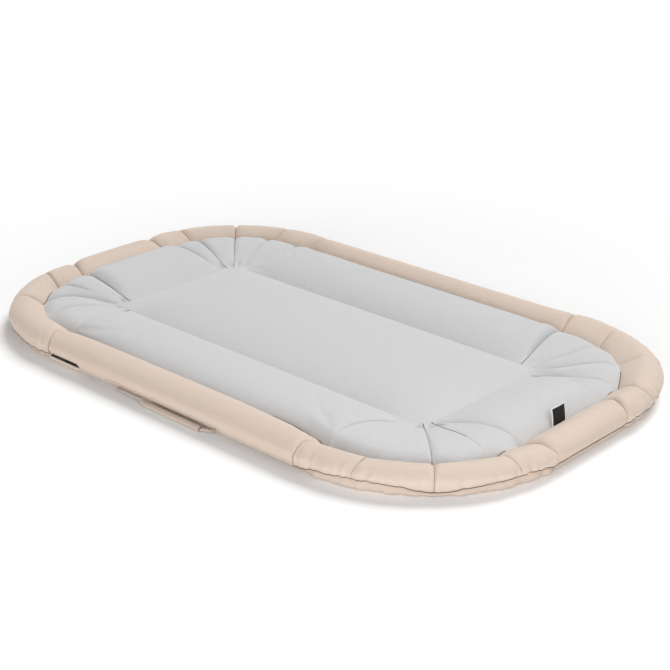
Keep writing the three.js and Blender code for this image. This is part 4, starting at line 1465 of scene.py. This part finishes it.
class LOUNGER_OT_hem_skirt(bpy.types.Operator):
    """Sews the skirt below the hem and the base cloth"""

    bl_idname = "lounger.hem_skirt"
    bl_label = "Skirt and base cloth"

    def execute(self, context):
        pattern = Pattern()
        ring, cornered = skirt_controls(pattern)
        depth, share, height = SKIRT.T
        nominal = nominal_lengths(np.stack([depth, share * DRAWN_HEM + height], -1))
        across = np.linspace(0, 1, 11)
        along = np.linspace(0, 1, len(ring))
        grid = swept(nominal, ring, across)
        hold = rim_hold(along, across, 0.003)
        hold[:, :3] = 1
        grow = np.outer(0.25 + 0.75 * cornered, np.clip((across - 0.25) / 0.3, 0, 1))
        sheet = Sheet("skirt_sheet", grid, hold, grow, 0.3, 1.5)
        move = settle([sheet], 3.2)[0]
        fine_u = np.linspace(0, 1, 2 * len(ring) - 1)
        fine_v = np.linspace(0, 1, SKIRT_ROWS)
        cloth = resampled(grid + move, (along, across), (fine_u, fine_v))
        even = np.interp(fine_u, along, np.convolve(cornered, np.ones(5) / 5, "same"))
        cloth[..., :2] = pleated(cloth, even, fine_v)
        cloth[..., 2] = np.clip(cloth[..., 2], 0, SKIRT_TOP)
        cloth[-1] = cloth[0]
        skin = np.concatenate([cloth, cloth[:, :1]], 1)
        mesh = to_mesh("hem_skirt_cloth", skin, True)
        piece = shown("hem_skirt_cloth", mesh, "cotton_sateen", sharp=60)
        # Faces of the skirt inside the gape take the zip tape's black: the tape's colour, and painted
        # shade in the slit
        mesh.materials.append(material_of("zip_tape"))
        for face in mesh.polygons:
            x, y, z = face.center / MM
            inside = GAPE_TAPE_SHADE_ALONG[0] < x < GAPE_TAPE_SHADE_ALONG[1] and GAPE_TAPE_SHADE_ACROSS[0] < y < GAPE_TAPE_SHADE_ACROSS[1]
            face.material_index = int(inside and z > GAPE_TAPE_SHADE_ABOVE)
        stands_for(piece, "hem_skirt")
        self.base(ring)
        return {"FINISHED"}

    def base(self, ring):
        """The flat cloth underneath, inside the skirt's foot, with a stitched edge."""
        outline = ring[:-1, 0, :2] * (1 - 0.6 / 450)
        bm = bmesh.new()
        corners = [bm.verts.new((x * MM, y * MM, 0.0)) for x, y in outline[::2]]
        face = bm.faces.new(corners)
        made = bmesh.ops.extrude_face_region(bm, geom=[face])
        bmesh.ops.translate(bm, verts=moved_points(made), vec=(0, 0, 2 * MM))
        caps = [face for face in bm.faces if len(face.verts) > 4]
        bmesh.ops.inset_region(bm, faces=caps, thickness=6 * MM)
        in_triangles(bm)
        bmesh.ops.recalc_face_normals(bm, faces=bm.faces)
        piece = shown("base_cloth", new_mesh("base_cloth", bm), "cotton_lining", sharp=30)
        stands_for(piece, "base_panel")


# The zip's teeth: their pitch, the share of it that a tooth fills, its depth and its broken edges;
# and the tape's thickness
TOOTH_PITCH = 2.6
TOOTH_SHARE = 0.62
TOOTH_DEPTH = 2.2
TOOTH_EDGE = 0.22
TAPE = 0.7


def tape_mesh(name):
    """The zip's tape, lying level behind its teeth with a slight wave."""
    low, high = (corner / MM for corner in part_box("zip_track"))
    along, across = np.linspace(low.x, high.x, 125), np.linspace(low.y + 1.6, high.y, 9)
    x, y = np.meshgrid(along, across, indexing="ij")
    wave = 0.12 * np.sin(x / 9) * (y - low.y) / (high.y - low.y)
    grid = np.stack([x, y, (low.z + high.z) / 2 + 0.35 + wave], -1)
    return thickened(to_mesh(name, grid), TAPE)


def teeth_mesh(name):
    """The closed row of teeth along the tape's edge, each with its edges broken."""
    low, high = (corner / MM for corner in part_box("zip_track"))
    bm = bmesh.new()
    for x in np.arange(low.x + 2, high.x - 2, TOOTH_PITCH):
        size = Vector((TOOTH_PITCH * TOOTH_SHARE, TOOTH_DEPTH, high.z - low.z - 0.1)) * MM
        centre = Vector((x, low.y + 1.25, (low.z + high.z) / 2)) * MM
        block = Matrix.Translation(centre) @ Matrix.Diagonal((*size, 1))
        bmesh.ops.create_cube(bm, size=1, matrix=block)
    bmesh.ops.bevel(
        bm,
        geom=bm.edges[:],
        offset=TOOTH_EDGE * MM,
        segments=1,
        affect="EDGES",
        profile=0.5,
        material=-1,
    )
    return new_mesh(name, bm)


class LOUNGER_OT_zip(bpy.types.Operator):
    """Makes the zip's tape and teeth in the near hem, and finishes its slider and puller"""

    bl_idname = "lounger.zip"
    bl_label = "Zip"

    def execute(self, context):
        tape = shown("zip_tape_cloth", tape_mesh("zip_tape_cloth"), "zip_tape")
        stands_for(tape, "zip_track")
        teeth = shown("zip_teeth", teeth_mesh("zip_teeth"), "zip_acetal", sharp=30)
        for node, finish in (("zip_slider", "plated_zinc"), ("zip_puller", "black_enamel")):
            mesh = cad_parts[node].data
            mesh.materials.clear()
            mesh.materials.append(material_of(finish))
        return {"FINISHED"}


# The handles: where the strap hinges on the skirt, its lean below level, its legs' distance from
# the middle, its long run's distance from the hinge, and where its sleeve starts and ends
HINGE = (-297.55, 7.316)
HANDLE_LEAN = math.radians(22)
STRAP_REACH = 96.5
STRAP_RUN = 8.5
SLEEVES = {"near": (-35, 79), "far": (-60, 60)}
# The radius of the corners between its legs and its run, the ten points of its section, across it
# and through it, and where its slack starts
STRAP_CORNER = 5
STRAP_WIDE = np.array([-3.4, -2.6, 0, 2.6, 3.4, 3.4, 2.6, 0, -2.6, -3.4])
STRAP_THICK = np.array([0.3, 0.62, 0.7, 0.62, 0.3, -0.3, -0.62, -0.7, -0.62, -0.3])
SLACK_START = -95
# The sleeve's half width and half height
SLEEVE_WIDE = 4.6
SLEEVE_HIGH = 2.3
# Beside the sleeve the bare strap draws back to this distance from the hinge, over this length
TUCKED_RUN = 5.2
TUCK_LENGTH = 14
# The thickness of the handles' patches and of the tab
PATCH = 0.9


def handle_point(side, x, reach, rise):
    """Points in a handle's own plane: along the side, out from the hinge and up from the strap."""
    y = HINGE[0] - reach * math.cos(HANDLE_LEAN) - rise * math.sin(HANDLE_LEAN)
    z = HINGE[1] - reach * math.sin(HANDLE_LEAN) + rise * math.cos(HANDLE_LEAN)
    sign = 1 if side == "near" else -1
    return np.stack([np.broadcast_to(x, y.shape), y * sign, z], -1)


def strap_mesh(name, side):
    """The strap: up one leg, along and down the other, with two slack arches toward the head."""
    turn = np.linspace(0, math.pi / 2, 9)
    first = STRAP_REACH - STRAP_CORNER + STRAP_CORNER * np.cos(turn)
    along = np.arange(-STRAP_REACH + 6.5, STRAP_REACH - 6, 1.5)
    half = np.concatenate([[STRAP_REACH] * 3, first[1:]])
    centre_x = np.concatenate([-half, along, half[::-1]])
    lift = np.concatenate([[0.6, 2, 3.4], 3.6 + 4.9 * np.sin(turn[1:])])
    centre_r = np.concatenate([lift, [STRAP_RUN] * len(along), lift[::-1]])
    centre = np.stack([centre_x, centre_r], -1)
    ahead = np.gradient(centre, axis=0)
    ahead /= np.linalg.norm(ahead, axis=-1, keepdims=True)
    across = np.stack([-ahead[:, 1], ahead[:, 0]], -1)
    start, end = SLEEVES[side]
    slack = (centre_x > SLACK_START) & (centre_x < start - 2)
    turn = math.pi * (centre_x - SLACK_START) / (start - 2 - SLACK_START) * 2
    arch = np.where(slack, 1.5 * np.abs(np.sin(turn)), 0)
    into_sleeve = np.clip((centre_x - start + TUCK_LENGTH + 2) / TUCK_LENGTH, 0, 1)
    out_of_sleeve = np.clip((end + TUCK_LENGTH - centre_x) / TUCK_LENGTH, 0, 1)
    tucked = eased(1 - np.minimum(into_sleeve, out_of_sleeve))
    centre[:, 1] -= tucked * np.clip(centre[:, 1] - TUCKED_RUN, 0, None)
    x = centre[:, :1] + across[:, :1] * STRAP_WIDE
    reach = centre[:, 1:] + across[:, 1:] * STRAP_WIDE * (1 - 0.4 * tucked[:, None])
    grid = handle_point(side, x, reach, STRAP_THICK[None] + arch[:, None] + 0.05)
    return to_mesh(name, np.concatenate([grid, grid[:, :1]], 1), True, True)


def sleeve_mesh(name, side):
    """The grip's cloth tube: gathered shut at the head end, open at the foot end."""
    start, end = SLEEVES[side]
    x = np.linspace(start, end, 61)
    size = np.clip((x - start) / 7, 0, 1) ** 0.5 * 0.62 + 0.38
    size *= 1 + 0.03 * np.sin(x / 9) + 0.015 * np.sin(x / 3.7 + 1)
    size *= 1 + 0.05 * np.clip((x - end + 6) / 6, 0, 1)
    around = np.linspace(0, 2 * math.pi, 29)
    wide = np.sign(np.cos(around)) * np.abs(np.cos(around)) ** 0.75 * SLEEVE_WIDE
    high = np.sign(np.sin(around)) * np.abs(np.sin(around)) ** 0.85 * SLEEVE_HIGH
    # Past the open end the tube turns in and back, and ends in the dark
    x = np.concatenate([x, [end - 0.4, end - 4, end - 12]])
    size = np.concatenate([size, [size[-1] * 0.8, size[-1] * 0.72, size[-1] * 0.5]])
    reach = STRAP_RUN + wide[None] * size[:, None] + 0.25 * np.sin(x / 9)[:, None]
    grid = handle_point(side, x[:, None], reach, high[None] * size[:, None])
    grid[..., 2] = np.maximum(grid[..., 2], 0.15)
    return to_mesh(name, grid, True, True)


def painted_shade_mouth_mesh(name, side):
    """A sheet of painted shade: the dark inside of the sleeve, a little way back from its open end.
    """
    end = SLEEVES[side][1]
    around = np.linspace(0, 2 * math.pi, 25)
    x = np.array([end - 1.2, end - 0.6, end + 0.1])[:, None]
    size = np.array([0.9, 1, 0.97])[:, None]
    reach = STRAP_RUN + 4.2 * np.cos(around)[None] * size
    grid = handle_point(side, x, reach, 2.1 * np.sin(around)[None] * size)
    grid[..., 2] = np.maximum(grid[..., 2], 0.3)
    return to_mesh(name, grid, True, True)


def anchor_mesh(name, node):
    """A small sewn patch that holds the strap to the skirt, with its corners rounded off."""
    low, high = (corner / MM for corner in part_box(node))
    u, v = np.linspace(-1, 1, 13), np.linspace(-1, 1, 7)
    across, up = np.meshgrid(u, v, indexing="ij")
    shrink = 1 - 0.12 * across**2 * up**2
    centre, half = (low + high) / 2, (high - low) / 2
    outward = math.copysign(1, centre.y)
    dome = 0.35 * (1 - across**4) * (1 - up**4)
    slope = -outward * 0.75 * up * half.z
    x = centre.x + across * shrink * half.x
    y = centre.y + slope + outward * (1.2 + dome)
    z = centre.z + up * shrink * half.z
    return thickened(to_mesh(name, np.stack([x, y, z], -1)), PATCH)


class LOUNGER_OT_handles(bpy.types.Operator):
    """Sews the carry handles: straps, padded sleeves and their patches"""

    bl_idname = "lounger.handles"
    bl_label = "Carry handles"

    def execute(self, context):
        for side in ("near", "far"):
            body = f"handle_{side}"
            name = f"handle_strap_{side}"
            strap = shown(name, strap_mesh(name, side), "cotton_sateen", body, sharp=40)
            stands_for(strap, f"handle_webbing_{side}")
            name = f"handle_grip_{side}"
            grip = shown(name, sleeve_mesh(name, side), "cotton_sateen", body)
            stands_for(grip, f"handle_sleeve_{side}")
            # A dark sheet just inside the sleeve's open end, painted shade for its unlit hollow
            name = f"handle_mouth_{side}"
            shown(name, painted_shade_mouth_mesh(name, side), "sleeve_inside", body)
            for end in ("a", "b"):
                node = f"handle_anchor_{side}_{end}"
                mesh = anchor_mesh(f"{node}_patch", node)
                patch = shown(f"{node}_patch", mesh, "cotton_sateen", sharp=40)
                stands_for(patch, node)
        return {"FINISHED"}


# The tab's size and pale border in millimetres, its lean in degrees, and how far its foot is set
# off from its node's corner
TAB_WIDTH = 29
TAB_HEIGHT = 25
TAB_BORDER = 1.5
TAB_LEAN = 9
TAB_SHIFT = (3, 4.5, -3)


class LOUNGER_OT_tab(bpy.types.Operator):
    """Weaves the black tab with its pale edge"""

    bl_idname = "lounger.tab"
    bl_label = "Woven tab"

    def execute(self, context):
        low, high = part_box("woven_tab")
        low, high = low + Vector(TAB_SHIFT) * MM, high + Vector(TAB_SHIFT) * MM
        tilt = math.radians(TAB_LEAN)
        u = np.linspace(0, 1, 41)
        v = np.linspace(0, 1, 33)
        curl = np.outer(np.sin(u * math.pi) * 0.5, v) + 0.6 * np.sin(v * math.pi)[None]
        grid = np.zeros((len(u), len(v), 3))
        grid[..., 0] = high.x / MM - 0.8 - v[None] * TAB_HEIGHT * math.sin(tilt) + curl
        grid[..., 1] = low.y / MM + u[:, None] * TAB_WIDTH
        grid[..., 2] = low.z / MM + 0.3 + v[None] * TAB_HEIGHT * math.cos(tilt)
        mesh = thickened(to_mesh("woven_tab_cloth", grid), PATCH)
        piece = shown("woven_tab_cloth", mesh, "damask_black", "tab", sharp=40)
        mesh.materials.append(material_of("damask_edge"))
        for face in mesh.polygons:
            y = face.center.y / MM - low.y / MM
            z = (face.center.z - low.z) / MM / math.cos(tilt)
            face.material_index = int(min(y, TAB_WIDTH - y, TAB_HEIGHT - z) < TAB_BORDER)
        stands_for(piece, "woven_tab")
        return {"FINISHED"}


def seen_directly(tree):
    """1 for what the camera, a mirror or a glass sees, 0 for light that falls on other things."""
    ray = add_node(tree, "ShaderNodeLightPath")
    seen = ray.outputs["Is Camera Ray"]
    for kind in ("Is Glossy Ray", "Is Transmission Ray"):
        inputs = {0: seen, 1: ray.outputs[kind]}
        seen = add_node(tree, "ShaderNodeMath", inputs, operation="MAXIMUM").outputs[0]
    return seen


# The card of the floor: half its size in metres, and the glow that lifts it to plain white, which
# grows with the distance from the object: weaker near it, so the floor round the object keeps a
# painted shade
FLOOR_HALF = 9
LIFT = {"From Min": 0.55, "From Max": 1.5, "To Min": 0.05, "To Max": 0.24}
# The camera: its turn and height in degrees, its lens and distance, and the point that it faces
CAMERA_TURN = 43.142
CAMERA_HEIGHT = 22.876
CAMERA_LENS = 81.635
CAMERA_DISTANCE = 2.3138
CAMERA_TARGET = (-16.15, 56.28, 0)


class LOUNGER_OT_stage(bpy.types.Operator):
    """Sets the floor, the lamps and the camera"""

    bl_idname = "lounger.stage"
    bl_label = "Studio"

    def execute(self, context):
        scene = context.scene
        light = scene.lounger_light
        scene.view_settings.view_transform = "Standard"
        bm = bmesh.new()
        bmesh.ops.create_grid(bm, x_segments=8, y_segments=8, size=FLOOR_HALF)
        floor = placed("studio_floor", new_mesh("studio_floor", bm))
        floor.data.materials.append(self.floor_material(light.floor))
        self.world(light.fill)
        self.lamp("front_lamp", (0.2, -0.9, 0.16), light.front, 40)
        self.lamp("back_lamp", (-0.16, 0.62, 0.68), light.back, 30)
        self.softbox(light.softbox)
        self.camera(scene)
        return {"FINISHED"}

    def lamp(self, name, toward, strength, softness):
        """A broad far lamp: the way to it and its apparent size in degrees."""
        data = bpy.data.lights.new(name, "SUN")
        data.energy = strength
        data.angle = math.radians(softness)
        lamp = placed(name, data)
        toward = Vector(toward).normalized()
        lamp.rotation_euler = toward.to_track_quat("Z", "Y").to_euler()
        lamp.location = toward * 3

    def softbox(self, strength):
        """A near panel off the foot end, so that the light falls off toward the head."""
        data = bpy.data.lights.new("softbox", "AREA")
        data.energy = strength
        data.size = 1.4
        lamp = placed("softbox", data)
        lamp.location = (1.7, -1.0, 1.1)
        lamp.rotation_euler = lamp.location.to_track_quat("Z", "Y").to_euler()

    def floor_material(self, base):
        """Matt white card: plain white in the open, and near the object a weaker glow that paints
        shade round its soft shadow.
        """
        material, tree = new_material("studio_card")
        place = add_node(tree, "ShaderNodeTexCoord").outputs["Object"]
        away = add_node(tree, "ShaderNodeVectorMath", {0: place}, operation="LENGTH")
        inputs = {"Value": away.outputs["Value"], **LIFT}
        level = add_node(tree, "ShaderNodeMapRange", inputs).outputs["Result"]
        inputs = {0: seen_directly(tree), 1: level}
        lift = add_node(tree, "ShaderNodeMath", inputs, operation="MULTIPLY").outputs[0]
        matt = add_node(tree, "ShaderNodeBsdfDiffuse", {"Color": tuple(base)})
        glow = add_node(tree, "ShaderNodeEmission", {"Strength": lift})
        both = add_node(tree, "ShaderNodeAddShader", {0: matt.outputs[0], 1: glow.outputs[0]})
        add_node(tree, "ShaderNodeOutputMaterial", {"Surface": both.outputs[0]})
        return material

    def world(self, strength):
        """An even white room whose walls show as plain white."""
        world = bpy.data.worlds.new("studio_room")
        bpy.context.scene.world = world
        world.use_nodes = True
        tree = world.node_tree
        tree.nodes.clear()
        inputs = {"Factor": seen_directly(tree), 2: strength, 3: 1.0}
        level = add_node(tree, "ShaderNodeMix", inputs, data_type="FLOAT").outputs[0]
        inputs = {"Color": (1, 1, 1, 1), "Strength": level}
        back = add_node(tree, "ShaderNodeBackground", inputs)
        add_node(tree, "ShaderNodeOutputWorld", {"Surface": back.outputs[0]})

    def camera(self, scene):
        """The camera at the photograph's viewing angle."""
        azimuth, elevation = math.radians(CAMERA_TURN), math.radians(CAMERA_HEIGHT)
        target = Vector(CAMERA_TARGET) * MM
        level = math.cos(elevation)
        back = Vector((math.sin(azimuth) * level, -math.cos(azimuth) * level, math.sin(elevation)))
        data = bpy.data.cameras.new("studio_camera")
        data.sensor_width = 36
        data.lens = CAMERA_LENS
        data.clip_end = 60
        camera = placed("studio_camera", data)
        camera.location = target + back * CAMERA_DISTANCE
        camera.rotation_euler = back.to_track_quat("Z", "Y").to_euler()
        scene.camera = camera


class LOUNGER_PT_sidebar(bpy.types.Panel):
    """Lists the lounger's sizes, cloths and steps"""

    bl_idname = "LOUNGER_PT_sidebar"
    bl_label = "Infant Lounger"
    bl_space_type = "VIEW_3D"
    bl_region_type = "UI"
    bl_category = "Lounger"

    def draw(self, context):
        column = self.layout.column()
        for group in GROUPS:
            holder = getattr(context.scene, group)
            for name in holder.__annotations__:
                column.prop(holder, name)
        for operator in OPERATORS:
            column.operator(operator.bl_idname)


GROUPS = {
    "lounger_sizes": LoungerSizes,
    "lounger_cloths": LoungerCloths,
    "lounger_fullness": LoungerFullness,
    "lounger_light": LoungerLight,
}
OPERATORS = [
    LOUNGER_OT_stage,
    LOUNGER_OT_white_top,
    LOUNGER_OT_outer_band,
    LOUNGER_OT_mattress_pad,
    LOUNGER_OT_hem_skirt,
    LOUNGER_OT_zip,
    LOUNGER_OT_handles,
    LOUNGER_OT_tab,
]


def register():
    """Makes the settings, the operators and the panel known."""
    for group in GROUPS.values():
        bpy.utils.register_class(group)
    for name, group in GROUPS.items():
        setattr(bpy.types.Scene, name, PointerProperty(type=group))
    for operator in OPERATORS:
        bpy.utils.register_class(operator)
    bpy.utils.register_class(LOUNGER_PT_sidebar)


def unregister():
    """Takes them away again, last one first."""
    bpy.utils.unregister_class(LOUNGER_PT_sidebar)
    for operator in reversed(OPERATORS):
        bpy.utils.unregister_class(operator)
    for name in GROUPS:
        delattr(bpy.types.Scene, name)
    for group in reversed(list(GROUPS.values())):
        bpy.utils.unregister_class(group)


def main():
    """Makes every piece in order."""
    register()
    bpy.ops.lounger.stage()
    bpy.ops.lounger.white_top()
    bpy.ops.lounger.outer_band()
    bpy.ops.lounger.mattress_pad()
    bpy.ops.lounger.hem_skirt()
    bpy.ops.lounger.zip()
    bpy.ops.lounger.handles()
    bpy.ops.lounger.tab()


if __name__ == "__main__":
    main()
